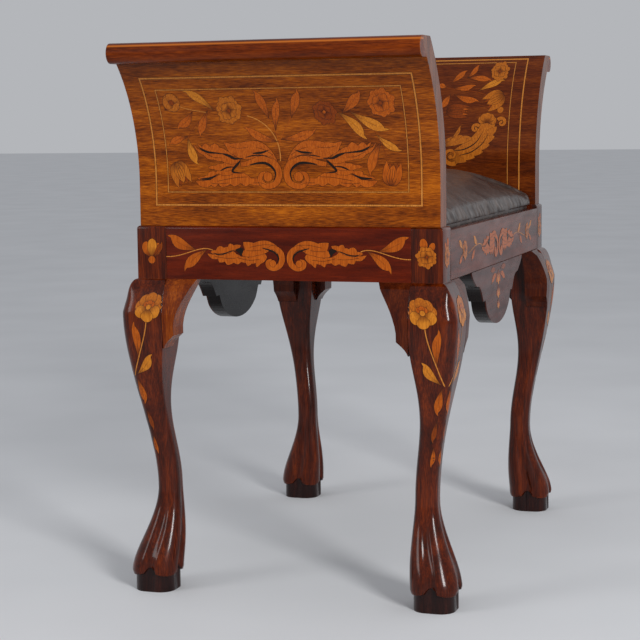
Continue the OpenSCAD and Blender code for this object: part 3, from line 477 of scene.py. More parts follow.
def photo_camera():
    sensor = 36.0
    lens = bpy.data.cameras.new("photo_camera")
    lens.sensor_width = sensor
    lens.lens = FOCAL_PIXELS / PHOTO_SIZE * sensor
    lens.shift_x = (PHOTO_SIZE / 2 - MIDDLE_PIXEL[0]) / PHOTO_SIZE
    lens.shift_y = (MIDDLE_PIXEL[1] - PHOTO_SIZE / 2) / PHOTO_SIZE
    ahead = Vector((math.cos(CAMERA_YAW) * math.cos(CAMERA_PITCH),
                    math.sin(CAMERA_YAW) * math.cos(CAMERA_PITCH), math.sin(CAMERA_PITCH)))
    level = Vector((math.sin(CAMERA_YAW), -math.cos(CAMERA_YAW), 0))
    above = level.cross(ahead)
    right = level * math.cos(CAMERA_ROLL) + above * math.sin(CAMERA_ROLL)
    up = above * math.cos(CAMERA_ROLL) - level * math.sin(CAMERA_ROLL)
    camera = bpy.data.objects.new("photo_camera", lens)
    bpy.context.scene.collection.objects.link(camera)
    place = Vector(CAMERA_PLACE) * MM
    axes = Matrix((right, up, -ahead)).transposed().to_4x4()
    camera.matrix_world = Matrix.Translation(place) @ axes
    bpy.context.scene.camera = camera


# Legs, by the formulas of the CAD source, with finer rings
TOE_OUT, ANKLE_IN, KNEE_OUT = 16, 12, 18
FOOT_W, ANKLE_W = 57, 27
FLUTE_D, BLOCK_H, BLOCK_IN, ARCH_H = 3.5, 20, 4, 10
FOOT_SHARE, ANKLE_SHARE, FOOT_SLIM_SHARE = 0.063, 0.33, 0.335
CALF_SHARE, SQUARE_SHARE, KNEE_SHARE = 0.385, 0.87, 0.895
CORNER_STEPS, FACE_STEPS, RING_STEPS = 8, 10, 110


def out_at(s):
    """Outer face of a leg at a share of its height, past the frame's face."""
    if s < ANKLE_SHARE:
        t = (max(0.0, s - FOOT_SHARE) / (ANKLE_SHARE - FOOT_SHARE)) ** 0.88
        return TOE_OUT - (TOE_OUT + ANKLE_IN) * smooth(t)
    if s < KNEE_SHARE:
        return -ANKLE_IN + (ANKLE_IN + KNEE_OUT) * ease(ANKLE_SHARE, KNEE_SHARE, s)
    return KNEE_OUT * math.sqrt(max(0.0, 1 - (s - KNEE_SHARE) / (1 - KNEE_SHARE)))


def in_at(s):
    """Inner face; it runs from the ankle's depth to the square's without a step."""
    if s < ANKLE_SHARE:
        return out_at(s) - FOOT_W + (FOOT_W - ANKLE_W) * ease(FOOT_SHARE, FOOT_SLIM_SHARE, s)
    wider = (STILE_W + KNEE_OUT - ANKLE_W) * ease(CALF_SHARE, SQUARE_SHARE, s) ** 2.1
    deepest = STILE_W + (ANKLE_IN + ANKLE_W - STILE_W) * (1 - ease(ANKLE_SHARE, 0.5, s))
    return max(-deepest, out_at(s) - ANKLE_W - wider)


def corner_arc(cx, cy, r, start, steps):
    angles = [math.radians(start + 90 * i / steps) for i in range(steps + 1)]
    return [(cx + r * math.cos(a), cy + r * math.sin(a)) for a in angles]


def leg_ring(z, s, flute, inset, lift):
    """A rounded square with a hollow along each face, its faces arched by lift."""
    hi = out_at(s) - inset
    lo = in_at(s) + inset
    wide = hi - lo
    r_out = wide * (0.36 - 0.09 * ease(0.6, 0.85, s) - 0.25 * ease(0.93, 1, s))
    r_side = wide * (0.36 - 0.34 * ease(0.5, 0.78, s))
    corners = [corner_arc(hi - r_out, hi - r_out, r_out, 0, CORNER_STEPS),
               corner_arc(lo + r_side, hi - r_side, r_side, 90, CORNER_STEPS),
               corner_arc(lo + r_side, lo + r_side, r_side, 180, CORNER_STEPS),
               corner_arc(hi - r_side, lo + r_side, r_side, 270, CORNER_STEPS)]
    inward = [(0, -1), (1, 0), (0, 1), (-1, 0)]
    ring = []
    for k in range(4):
        for i, (x, y) in enumerate(corners[k]):
            ring.append((x, y, 0.3 * (2 * i / CORNER_STEPS - 1) ** 2))
        ax, ay = corners[k][-1]
        bx, by = corners[(k + 1) % 4][0]
        for j in range(1, FACE_STEPS):
            t = j / FACE_STEPS
            hollow = flute * math.sin(math.pi * t)
            ring.append((ax + t * (bx - ax) + inward[k][0] * hollow,
                         ay + t * (by - ay) + inward[k][1] * hollow,
                         0.3 + 0.7 * math.sin(math.pi * t)))
    return [(HALF_L + x, HALF_W + y, z + lift * arch) for x, y, arch in ring]


def leg_shape():
    """A cabriole leg: the small block under its toes, then rings up to its square top."""
    toe = (BLOCK_H + BLOCK_IN) / LEG_H
    rings = [leg_ring(0, FOOT_SHARE, 0, BLOCK_IN, 0),
             leg_ring(BLOCK_H - BLOCK_IN / 4, FOOT_SHARE, FLUTE_D, BLOCK_IN, ARCH_H),
             leg_ring(BLOCK_H, FOOT_SHARE, FLUTE_D, BLOCK_IN / 4, ARCH_H)]
    for i in range(RING_STEPS + 1):
        t = i / RING_STEPS
        s = toe + (1 - toe) * (t - 0.11 * math.sin(2 * math.pi * t))
        rings.append(leg_ring(LEG_H * s, s, FLUTE_D * (1 - ease(0.1, 0.34, s)), 0,
                              ARCH_H * (1 - ease(toe, 0.2, s))))
    rings.append(leg_ring(LEG_H + 1, 1, 0, 1, 0))
    return skin(rings)


def square_ring(x0, x1, y0, y1, z):
    """A rectangle with just eased corners."""
    r = 0.7
    return [(x, y, z) for cx, cy, start in ((x1 - r, y1 - r, 0), (x0 + r, y1 - r, 90),
                                            (x0 + r, y0 + r, 180), (x1 - r, y0 + r, 270))
            for x, y in corner_arc(cx, cy, r, start, 3)]


def eased_top(x0, x1, y0, y1, foot, top, ease_x, ease_y):
    """A block whose top edge is rounded over at its far faces."""
    rings = [square_ring(x0, x1, y0, y1, foot)]
    for i in range(7):
        a = math.radians(15 * i)
        inset = EDGE_R * (1 - math.cos(a))
        rings.append(square_ring(x0, x1 - inset * ease_x, y0, y1 - inset * ease_y,
                                 top - EDGE_R + EDGE_R * math.sin(a)))
    return skin(rings)


def post_shape():
    return eased_top(POST_X, HALF_L, POST_Y, HALF_W, LEG_H, FRAME_TOP, 1, 1)


def leg(name, sx, sy):
    points, faces = joined(leg_shape(), post_shape())
    points, faces = at_corner(points, faces, sx, sy)
    piece = new_piece(name + "_carved", points, faces, "frame",
                      [leg_mahogany, foot_shade_painted_mahogany], crisp_above=40)
    around = 4 * (CORNER_STEPS + FACE_STEPS)
    # The two lowest rows of faces are the small block under the toes; they get the second finish,
    # a painted shade, darker where shade falls under the toes.
    for polygon in piece.data.polygons[:2 * around]:
        polygon.material_index = 1
    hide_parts(name)
    return BVHTree.FromPolygons([Vector(p) for p in points], faces)


# Rails

def end_rail(name, sx):
    points, faces = eased_top(HALF_L - RAIL_T, HALF_L, -POST_Y, POST_Y, LEG_H, FRAME_TOP, 1, 0)
    points, faces = at_corner(points, faces, sx, sx)
    piece = new_piece(name + "_board", points, faces, "frame", [end_rail_mahogany])
    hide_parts(name)


def extruded(section, half, along=X):
    """A closed section carried along X or Y from -half to half."""
    rings = []
    for end in (-half, half):
        rings.append([(end, a, z) if along == X else (a, end, z) for a, z in section])
    return skin(rings)


def side_rail(name, sy):
    """A long rail with a rebate for the seat; its ends stop just short of the legs."""
    r = 0.9
    gap = 0.05
    step_y = HALF_W - RAIL_T + LEDGE_W
    ledge = RAIL_TOP - REBATE_H
    section = [(HALF_W - RAIL_T, LEG_H), (HALF_W - r, LEG_H), (HALF_W, LEG_H + r),
               (HALF_W, RAIL_TOP - r), (HALF_W - 0.3 * r, RAIL_TOP - 0.3 * r),
               (HALF_W - r, RAIL_TOP), (step_y, RAIL_TOP), (step_y, ledge),
               (HALF_W - RAIL_T, ledge)]
    points, faces = extruded(section, POST_X - gap)
    points, faces = at_corner(points, faces, 1, sy)
    piece = new_piece(name + "_board", points, faces, "frame", [side_rail_mahogany])
    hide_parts(name)


# End panels: the face veneers as whole sheets that carry the marquetry

def panel_x(depth, z):
    """X of the curl at a depth behind its outer face."""
    if z <= CURL_Z:
        return PANEL_OUT - depth
    return CURL_X - math.sqrt((CURL_R + depth) ** 2 - (z - CURL_Z) ** 2)


def veneer_sheet(name, side, near, far, finish):
    """A sheet of veneer between two depths, from the frame up to the nosing."""
    steps = 70

    def line(depth):
        top = TOTAL_H
        if near == 0:
            reach = CURL_X - NOSING_X
            top = CURL_Z + math.sqrt((CURL_R + depth) ** 2 - reach ** 2)
        return [(panel_x(depth, z), z) for z in np.linspace(FRAME_TOP, top, steps)]
    section = line(near) + line(far)[::-1]
    points, faces = extruded(section, PANEL_HALF_W, along=Y)
    points, faces = at_corner(points, faces, side, side)
    piece = new_piece(name + "_sheet", points, faces, "frame", [finish])
    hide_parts(name)


# Marquetry. A design is a list of cut pieces: outline, wood, level in the pile, and the
# line along which the piece is scorched, from its dark root. Places are in millimetres.
# A level is LEVEL_STEP high, and glue lies GLUE_BELOW levels under its piece. Pieces that
# overlap have levels of their own, because faces in one plane shade black.
WOODS = ["glue", "satinwood", "honey", "yellow", "russet", "pale", "black"]
wood_finishes = [glue_line, satinwood, honey_satinwood, yellow_boxwood, russet_pear,
                 pale_boxwood, ebonised]
GLUE_W = 0.35
GLUE_BELOW = 0.5
STEM_LEVEL = 0.85
STRING_LEVEL = 0.7
LEVEL_STEP = 0.06
FIRST_LIFT = 0.1
PANEL_STRIP = 4
KNEE_STRIPS = (3, 2.5)


def turned(outline, place, angle):
    """An outline turned by an angle in degrees, then moved to a place."""
    c, s = math.cos(math.radians(angle)), math.sin(math.radians(angle))
    return np.array(outline, float) @ np.array([[c, s], [-s, c]]) + np.array(place, float)


def grown(outline, by):
    """An outline moved outwards by a small distance."""
    p = np.array(outline, float)
    area = np.sum(p[:, 0] * np.roll(p[:, 1], -1) - np.roll(p[:, 0], -1) * p[:, 1])
    along = np.roll(p, -1, 0) - np.roll(p, 1, 0)
    out = np.stack([along[:, 1], -along[:, 0]], 1) * np.sign(area)
    length = np.maximum(np.linalg.norm(out, axis=1, keepdims=True), 1e-6)
    return p + by * out / length


def cut(outline, wood, level, scorch=None, glued=True):
    """One cut piece, over the dark glue line that shows round it."""
    pieces = [(np.array(outline, float), wood, level, scorch)]
    if glued:
        pieces.insert(0, (grown(outline, GLUE_W), "glue", level - GLUE_BELOW, None))
    return pieces


def strip(line, wide):
    """Outline of a band of even or given width along a curve."""
    line = np.array(line, float)
    along = np.gradient(line, axis=0)
    side = np.stack([-along[:, 1], along[:, 0]], 1)
    side /= np.maximum(np.linalg.norm(side, axis=1, keepdims=True), 1e-6)
    half = np.broadcast_to(np.array(wide, float) / 2, len(line))[:, None]
    return np.concatenate([line + side * half, (line - side * half)[::-1]])


def stem(a, b, c, d, wide=1.1, wood="pale"):
    """A thin stalk that lies under the leaves and flowers."""
    return cut(strip(cubic(a, b, c, d), wide), wood, STEM_LEVEL, glued=False)


def engraved(line, level, wide):
    """A fine line cut into the veneer and filled with black."""
    return cut(strip(line, wide), "black", level, glued=False)


def leaf(base, tip, wide, bend, wood="satinwood", level=1):
    """A leaf with a shoulder near its tip, scorched at its base, with a midrib."""
    base, tip = np.array(base, float), np.array(tip, float)
    run = tip - base
    side = np.array([-run[1], run[0]]) / np.linalg.norm(run)
    t = np.linspace(0, 1, 17)[:, None]
    spine = base + run * t + side * bend * np.sin(math.pi * t)
    half = wide / 2 * np.sin(math.pi * t ** 1.55) ** 0.8
    other = wide / 2 * np.sin(math.pi * np.minimum(1, t / 0.86) ** 1.7) ** 0.7
    outline = np.concatenate([spine + side * half, (spine - side * other)[-2:0:-1]])
    pieces = cut(outline, wood, level, (base, base + run * 0.55))
    return pieces + engraved(spine[1:12], level + 0.5, 0.22)


def petal(place, angle, length, wide, wood, level, frills=0):
    """A petal from a flower's middle outwards. Frills notch its outer edge."""
    phi = np.radians(np.linspace(-115, 115, 31))
    notch = 1 - (0.16 * (1 - np.abs(np.cos(frills * phi / 2))) if frills else 0)
    along = length * (0.58 + 0.42 * np.cos(phi)) * notch
    across = wide / 2 * np.sin(phi) * notch
    outline = np.concatenate([[[0, 0]], np.stack([along, across], 1)])
    line = turned([[length * 0.15, 0], [length * 0.75, 0]], place, angle)
    return cut(turned(outline, place, angle), wood, level, (line[0], line[1]))


def disc(place, r, wood, level):
    a = np.radians(np.arange(0, 360, 30))
    return cut(np.array(place) + r * np.stack([np.cos(a), np.sin(a)], 1), wood, level)


def carnation(place, r, turn, wood="honey", inner="honey", heart="russet"):
    """A frilled flower: seven uneven petals in a ring, four over them, and a heart."""
    pieces = []
    for k in range(7):
        long = r * (1 + 0.1 * math.sin(5.1 * k + turn))
        pieces += petal(place, turn + 51 * k, long, r * 0.98, wood, 1 + 0.3 * k, frills=5)
    for k in range(4):
        long = r * (0.64 + 0.08 * math.sin(3.7 * k + turn))
        pieces += petal(place, turn + 33 + 88 * k, long, r * 0.7, inner, 3.45 + 0.6 * k,
                        frills=4)
    return pieces + disc(place, r * 0.13, heart, 5.9)


def tulip(place, wide, high, turn, wood="satinwood", beard="russet"):
    """A closed tulip: a dark heart, two side petals and a middle one, with veins."""
    place = np.array(place, float)
    half = high / 2

    def put(outline):
        return turned(outline, place, turn)
    back = [(-0.34 * wide, 0.1 * high), (-0.2 * wide, half * 0.96), (-0.08 * wide, 0.25 * high),
            (0, half * 0.9), (0.08 * wide, 0.25 * high), (0.2 * wide, half * 0.96),
            (0.34 * wide, 0.1 * high), (0, -0.3 * high)]
    pieces = cut(put(back), beard, 1, (put([(0, -half)])[0], put([(0, half)])[0]))
    for side in (-1, 1):
        outer = cubic((0, -half), (side * 0.62 * wide, -half), (side * 0.62 * wide, 0.05 * high),
                      (side * 0.4 * wide, half))
        inner = cubic((side * 0.4 * wide, half), (side * 0.2 * wide, 0.2 * high),
                      (side * 0.06 * wide, 0), (0, -half))
        outline = put(np.concatenate([outer, inner[1:-1]]))
        pieces += cut(outline, wood, 1.7 + 0.1 * side,
                      (put([(0, -half)])[0], put([(side * wide / 2, 0.1 * high)])[0]))
    outer = cubic((0, -half), (-0.42 * wide, -0.3 * high), (-0.3 * wide, 0.15 * high),
                  (0, 0.38 * high))
    middle = np.concatenate([outer, (outer * [-1, 1])[::-1][1:-1]])
    pieces += cut(put(middle), wood, 2.6, (put([(0, -half)])[0], put([(0, 0)])[0]))
    for u in (-0.12, 0, 0.12):
        pieces += engraved(put([(u * wide * 0.5, -0.36 * high), (u * wide * 1.1, -0.1 * high),
                                (u * wide, 0.2 * high)]), 3.2, 0.4)
    return pieces


def rosebud(place, r, turn):
    """A half-open bud: a round back, wrapped petals, a small sepal and a dark tip."""
    place = np.array(place, float)
    pieces = disc(place, r, "honey", 1)
    for k, angle in enumerate((35, 150, 265)):
        pieces += petal(turned([[-0.35 * r, 0]], place, turn + angle)[0], turn + angle,
                        r * 1.35, r * 1.35, "honey", 1.6 + 0.4 * k)
    pieces += petal(turned([[-1.25 * r, 0]], place, turn - 60)[0], turn - 60, r * 0.7, r * 0.5,
                    "russet", 1.2)
    return pieces + disc(place, r * 0.3, "russet", 3.4)


def acanthus(spine, widths, lobes, lobed_side, level):
    """A long acanthus leaf: rounded lobes along the edge on one side lean towards its
    tip, and a vein is engraved into each. widths gives its width at even steps."""
    notch, lean = 0.3, 0.4
    t = np.linspace(0, 1, 12 * lobes + 1)
    at = np.linspace(0, 1, len(spine))
    line = np.stack([np.interp(t, at, np.array(spine, float)[:, k]) for k in (0, 1)], 1)
    along = np.gradient(line, axis=0)
    along /= np.linalg.norm(along, axis=1, keepdims=True)
    side = np.stack([-along[:, 1], along[:, 0]], 1)
    half = np.interp(t, np.linspace(0, 1, len(widths)), widths) / 2
    bulge = np.sin(math.pi * np.clip((t * lobes) % 1.0, 0.03, 1)) ** 0.55
    out = half * (1 - notch * (1 - bulge))
    push = lean * half * bulge ** 2
    lobed = line + lobed_side * side * out[:, None] + along * push[:, None]
    plain = line - lobed_side * side * half[:, None]
    above, below = (lobed, plain) if lobed_side > 0 else (plain, lobed)
    pieces = cut(np.concatenate([above, below[-2:0:-1]]), "honey", level,
                 (line[0], line[len(line) // 3]))
    for k in range(lobes):
        root, tip = line[12 * k + 2], line[12 * k + 8]
        end = tip + 0.62 * (lobed[12 * k + 8] - tip)
        vein = through([root, (root + 2 * tip + end) / 4, end], 4)
        pieces += engraved(vein, level + 0.5, 0.28)
    return pieces


def curl(place, r, start, turn, band):
    """A spiral band that widens as it leaves its eye."""
    wood, level = "honey", 3.8
    t = np.linspace(0, 1, 34)
    angle = np.radians(start + turn * t)
    out = r * (0.2 + 0.8 * t) - r * band * (0.3 + 0.5 * t) / 2
    line = np.array(place) + out[:, None] * np.stack([np.cos(angle), np.sin(angle)], 1)
    eye = disc(line[0], r * 0.2, wood, level + 0.4)
    return cut(strip(line, r * band * (0.3 + 0.7 * t)), wood, level) + eye


def inked(points, wide, level=5):
    """A black accent along a curve, thick in its first half and fine at its tips."""
    line = through(points)
    t = np.linspace(0, 1, len(line))
    swell = np.sin(math.pi * t ** 0.7) ** 0.9
    return cut(strip(line, wide * swell + 0.2), "black", level, glued=False)


def mirrored(pieces):
    """The pieces and their mirror images about the middle line."""
    flip = np.array([-1, 1])
    other = [(o * flip, wood, level, None if s is None else (s[0] * flip, s[1] * flip))
             for o, wood, level, s in pieces]
    return pieces + other


def shifted(pieces, u, v, size=1.0):
    """The pieces at another place, and another size."""
    by = np.array([u, v], float)
    return [(o * size + by, wood, level,
             None if s is None else (np.array(s[0]) * size + by, np.array(s[1]) * size + by))
            for o, wood, level, s in pieces]


def string_frame(half, foot, high, wide=1.8):
    """Four mitred lengths of pale stringing, with the groove's dark edge round them."""
    out = [(-half, foot), (half, foot), (half, foot + high), (-half, foot + high)]
    inner = [(-half + wide, foot + wide), (half - wide, foot + wide),
             (half - wide, foot + high - wide), (-half + wide, foot + high - wide)]
    pieces = []
    for k in range(4):
        n = (k + 1) % 4
        pieces += cut([out[k], out[n], inner[n], inner[k]], "pale", STRING_LEVEL)
    return pieces


def bowed(corners, bow):
    """An outline whose sides swell a little between its corners."""
    line = []
    for a, b in zip(corners, corners[1:] + corners[:1]):
        a, b = np.array(a, float), np.array(b, float)
        side = np.array([b[1] - a[1], a[0] - b[0]])
        line += [a + (b - a) * t + side * bow * 4 * t * (1 - t) for t in (0, 0.25, 0.5, 0.75)]
    return np.array(line)


def flame(corners, level=1, bow=0.11):
    """A blade of acanthus with pointed barbs; its corners are given in turn."""
    area = sum(a[0] * b[1] - b[0] * a[1] for a, b in zip(corners, corners[1:] + corners[:1]))
    return cut(bowed(corners, bow if area > 0 else -bow), "satinwood", level)


def outer_acanthus():
    """One half of the scrolling acanthus on an end panel's outer face."""
    pieces = flame([(111, 492), (102, 492), (93, 493), (86, 497), (78, 500), (66, 501), (54, 502),
                    (47, 499), (42, 495), (28, 494), (24, 489), (35, 487), (44, 489), (49, 486),
                    (55, 490), (63, 486), (68, 489), (78, 485), (83, 489), (88, 485), (92, 488),
                    (97, 485), (105, 486)], bow=0.06)
    pieces += flame([(109, 495), (101, 497), (95, 499), (95, 502), (85, 503), (75, 506),
                     (66, 505), (64, 501), (72, 499), (82, 501), (88, 497), (96, 494)],
                    level=1.8)
    pieces += flame([(95, 508), (86, 510), (77, 512), (70, 514), (55, 516), (61, 508),
                     (67, 505), (78, 505), (88, 506)], level=2.4)
    pieces += flame([(111, 535), (107, 530), (101, 527), (94, 525), (84, 524), (73, 523),
                     (66, 518), (55, 517), (59, 513), (67, 512), (77, 515), (87, 517),
                     (95, 518), (99, 522), (106, 526)], level=3, bow=0.05)
    pieces += flame([(106, 536), (101, 532), (96, 536), (91, 532), (84, 536), (79, 531),
                     (70, 527), (61, 521), (66, 521), (73, 524), (85, 525), (94, 526),
                     (101, 529)], level=3.6, bow=0.08)
    pieces += flame([(73, 537), (65, 535), (53, 536), (42, 538), (32, 538), (23, 534),
                     (16, 527), (9, 514), (21, 516), (36, 518), (53, 518), (61, 522),
                     (68, 526), (70, 531)], level=4.2, bow=0.05)
    scroll = through([(54, 511), (44, 513), (32, 517), (21, 517), (12, 511), (8, 502), (10, 492),
                      (17, 487), (26, 487), (31, 493), (29, 500), (22, 501)])
    widths = np.interp(np.linspace(0, 1, len(scroll)), [0, 0.3, 0.7, 1], [5, 8, 6.5, 4])
    pieces += cut(strip(scroll, widths), "satinwood", 4.8)
    pieces += disc((21.5, 497), 5.5, "satinwood", 5.4)
    level = 6
    for line, wide in (([(44, 511), (30, 513), (22, 512), (15, 507), (12, 500), (15, 491)], 2.8),
                       ([(104, 531), (96, 526.5), (87, 525), (73, 524)], 2.4),
                       ([(76, 524), (67, 521), (61, 518), (50, 518.5)], 3),
                       ([(106, 494.5), (96, 495), (89, 497), (82, 501)], 2.4),
                       ([(54, 516), (61, 509), (64.5, 503), (52, 501)], 2.6),
                       ([(80, 504), (71, 508), (60, 508.5)], 1.6),
                       ([(39, 524), (27, 525), (18, 528)], 2.4),
                       ([(48, 519.5), (38, 521.5), (26, 521.5), (14, 517)], 1.2)):
        pieces += inked(line, wide, level)
    for vein in ([(44, 531), (56, 530), (66, 532)], [(14, 522), (24, 528), (34, 531)],
                 [(46, 497), (62, 496), (84, 492)], [(40, 490), (30, 490), (24, 488)],
                 [(70, 490), (84, 489), (92, 490)], [(78, 519), (88, 520), (98, 525)]):
        pieces += engraved(through(vein, 5), level, 0.35)
    return pieces


def outer_design():
    """The outer face of an end panel, seen from outside, +u to the left."""
    pieces = string_frame(162, 463.5, 148) + string_frame(146.5, 479, 119, wide=1.0)
    half = outer_acanthus()
    pieces += half
    # The other half is its mirror image, drawn wider so that it reaches past the middle.
    wider, past_middle = 1.05, 6.9
    pieces += [(outline * (-wider, 1) + (past_middle, 0), wood, level, None)
               for outline, wood, level, _ in half]
    pieces += stem((5.6, 515), (3, 538), (14, 560), (40, 567))
    pieces += stem((-13, 566), (-8, 556), (1, 548), (5, 535), 0.7, "satinwood")
    pieces += stem((16, 566), (11, 557), (7, 548), (5, 533), 0.7, "satinwood")
    pieces += stem((88, 571), (100, 574), (112, 574), (124, 580), 0.8)
    pieces += stem((84, 572), (104, 560), (112, 552), (118, 540), 0.8, "russet")
    pieces += stem((-92, 568), (-106, 556), (-112, 546), (-122, 518), 0.8, "russet")
    for shape in (((79, 573), (113, 596), 9.5, 3, "yellow"), ((106, 573), (128, 553), 10, -2),
                  ((87, 574), (101, 543), 9, 2), ((117, 544), (141, 534), 8.5, 2),
                  ((117, 543), (106, 511), 10, 3, "yellow"), ((5, 537), (47, 554), 9.5, -3),
                  ((14, 562), (28, 596), 10, 2), ((8, 549), (1, 587), 9, -1),
                  ((-12, 563), (-25, 596.5), 10, 1), ((4, 540), (-41, 552), 10, 4),
                  ((-73, 568), (-98, 594), 11, 2), ((-84, 570), (-127, 550), 12, 3, "yellow"),
                  ((-69, 570), (-100, 539), 11, -2, "yellow"),
                  ((-110, 545), (-140, 526), 8, 3, "yellow"),
                  ((-116, 536), (-102, 497), 11, 4)):
        pieces += leaf(*shape)
    pieces += carnation((61, 573), 16.5, 10)
    pieces += carnation((-53, 570), 14.5, 25, "russet", "russet", "satinwood")
    pieces += carnation((-120, 579), 17, 5, "satinwood", "satinwood")
    pieces += rosebud((130, 583), 10.5, 200)
    pieces += tulip((130, 501), 22, 29, 158, "honey")
    pieces += tulip((-127, 500), 21, 27, 10)
    return pieces


def inner_design():
    """The face of an end panel towards the seat: one half, mirrored."""
    pieces = string_frame(160, 449, 197)
    pieces += string_frame(143, 464, 177, wide=1.0)
    half = acanthus(through([(56, 502), (78, 511), (98, 524), (111, 541), (113, 558)]),
                    [16, 24, 27, 27, 26, 20], 8, -1, 1)
    for k, angle in enumerate((20, 150, 55, 120, 88)):
        half += petal((111, 555), angle, 14, 11, "honey", 1.6 + 0.3 * k)
    half += acanthus(through([(50, 526), (64, 530), (78, 532), (90, 533)]), [10, 14, 12, 3], 3,
                     1, 3)
    half += leaf((58, 532), (74, 552), 5, -3, "honey", 3.4)
    half += curl((61, 509), 15, -480, 420, 0.42)
    half += curl((132, 555), 9, -254, 400, 0.6)
    half += curl((95, 547), 8, 430, -400, 0.6)
    half += inked([(64, 516), (80, 518), (96, 527), (106, 542)], 1.4)
    half += inked([(72, 509), (90, 514), (106, 526), (114, 540)], 1.1)
    for shape in (((52, 611), (74, 630), 8, 1), ((75, 619), (90, 638), 7, -1),
                  ((75, 619), (112, 614), 8, 2), ((56, 605), (90, 608), 8, -2),
                  ((94, 600), (131, 615), 9, 2, "yellow"), ((59, 596), (97, 585), 9, -2),
                  ((54, 597), (42, 577), 9, 1), ((48, 606), (34, 612), 7, 1)):
        half += leaf(*shape)
    half += stem((46, 606), (62, 601), (88, 603), (110, 593), 0.9, "russet")
    half += carnation((121, 628), 14, 15)
    half += tulip((119, 587), 25, 30, 120, "honey")
    half += disc((129, 573), 4.5, "honey", 1)
    half += tulip((67, 572), 19, 33, -95, "russet", "satinwood")
    pieces += mirrored(half)
    return pieces + carnation((0, 606), 17, 12)


def frieze_acanthus():
    """One half of the acanthus on a rail, from the middle outwards."""
    half = flame([(97, -1), (91, -2), (83, -3), (73, 0), (64, 2), (61, -1), (55, -4), (46, -5),
                  (36, -3), (26, 0), (23, -4), (26, -9), (31, -12), (36, -16), (37, -11),
                  (42, -12), (47, -15), (49, -11), (55, -10), (59, -13), (64, -11), (72, -14),
                  (75, -10), (82, -11), (84, -7), (91, -7)], bow=0.06)
    half += flame([(93, 1), (86, 3), (82, 8), (76, 6), (71, 7), (69, 11), (64, 9), (55, 9),
                   (59, 5), (67, 2), (75, -1), (85, -2)], level=1.8)
    half += flame([(52, 13), (39, 12), (28, 15), (20, 14), (11, 9), (6, 1), (11, 0), (19, 4),
                   (26, 0), (35, -2), (44, -4), (53, -3), (54, 1), (50, 4)], level=2.6, bow=0.05)
    scroll = through([(24, 3), (16, 7), (8, 3), (4.5, -5), (7, -13), (14, -17), (21, -15),
                      (22, -10), (17, -8)])
    widths = np.interp(np.linspace(0, 1, len(scroll)), [0, 0.3, 0.7, 1], [3, 7, 6, 4])
    half += cut(strip(scroll, widths), "satinwood", 3.4)
    half += disc((16, -11.5), 4, "satinwood", 4)
    half += inked([(29, 6.5), (20, 4), (13, 1), (9, -5), (11, -11)], 1.8)
    half += cut(bowed([(62, 4), (57, 6), (53, 6), (52, 3), (53, 0), (55, -3), (57, 0)], 0.05),
                "black", 5, glued=False)
    half += inked([(90, 0), (83, -1.5), (75, -0.5), (67, 2.5), (60, 4)], 1.3)
    for vein in ([(32, -7), (46, -8), (60, -5)], [(62, -6), (74, -6), (88, -4)],
                 [(16, 10), (28, 10), (44, 7)], [(30, 4), (38, 3), (48, 3)]):
        half += engraved(through(vein, 5), 5, 0.35)
    return half


def end_rail_design():
    """The frieze of an end rail: acanthus in the middle, leaves at both ends."""
    half = frieze_acanthus()
    half += stem((88, 2), (104, 12), (124, -6), (149, -5), 1.0)
    half += leaf((110, 3), (147, 20), 13, -2)
    half += leaf((97, 4), (126, -22), 12, 3)
    return shifted(mirrored(half), 0, RAIL_MID)


def side_rail_design():
    """The front or back rail: a spray in the middle and a small one at each end."""
    half = frieze_acanthus()
    half += stem((92, 0), (112, 8), (140, 2), (168, -4), 0.9)
    half += leaf((118, 3), (142, 15), 8, -1, "yellow")
    half += leaf((130, 1), (152, -15), 8, 1)
    half += carnation((186, 2), 12, 20)
    half += leaf((196, 2), (218, 14), 7, 1, "yellow", 0.62)
    half += leaf((196, 0), (216, -14), 7, -1, level=0.74)
    return shifted(mirrored(half), 0, LEG_H + (RAIL_H - RAIL_DROP) / 2, 0.98)


def round_post_design():
    """A carnation with a pointed bud rising from it, for a front leg's square top."""
    pieces = petal((2, 2), 80, 17, 9, "satinwood", 0.65)
    pieces += petal((-3, 2), 112, 13, 7, "satinwood", 0.77)
    return pieces + carnation((0, -2), 12.5, 8)


def tulip_post_design():
    """An open tulip seen from its side, for a back leg's square top."""
    pieces = petal((0, -7), 65, 21, 13, "satinwood", 1)
    pieces += petal((0, -7), 118, 20, 12, "satinwood", 1.6)
    pieces += petal((0, -7), 92, 23, 12, "yellow", 2.2)
    pieces += leaf((0, -6), (-13, 13), 7, 2, "russet", 2.6)
    return pieces + disc((0, -9), 4.5, "satinwood", 3)


def drop_design():
    """A pendant of bellflowers down the middle of a drop."""
    pieces = []
    for k, (v, size) in enumerate(((-10, 1.0), (-30, 0.85), (-47, 0.65))):
        for n, angle in enumerate((-128, -52, -90)):
            pieces += petal((0, v), angle, 17 * size, 9 * size,
                            "yellow" if angle == -90 else "satinwood", 1 + 0.2 * n)
        pieces += disc((0, v), 2.2 * size, "russet", 2)
    half = leaf((6, -12), (40, -24), 8, 3, level=0.6)
    half += leaf((10, -8), (46, -8), 7, 2, "russet", 0.75)
    pieces += mirrored(half)
    return shifted(pieces, 0, LEG_H)


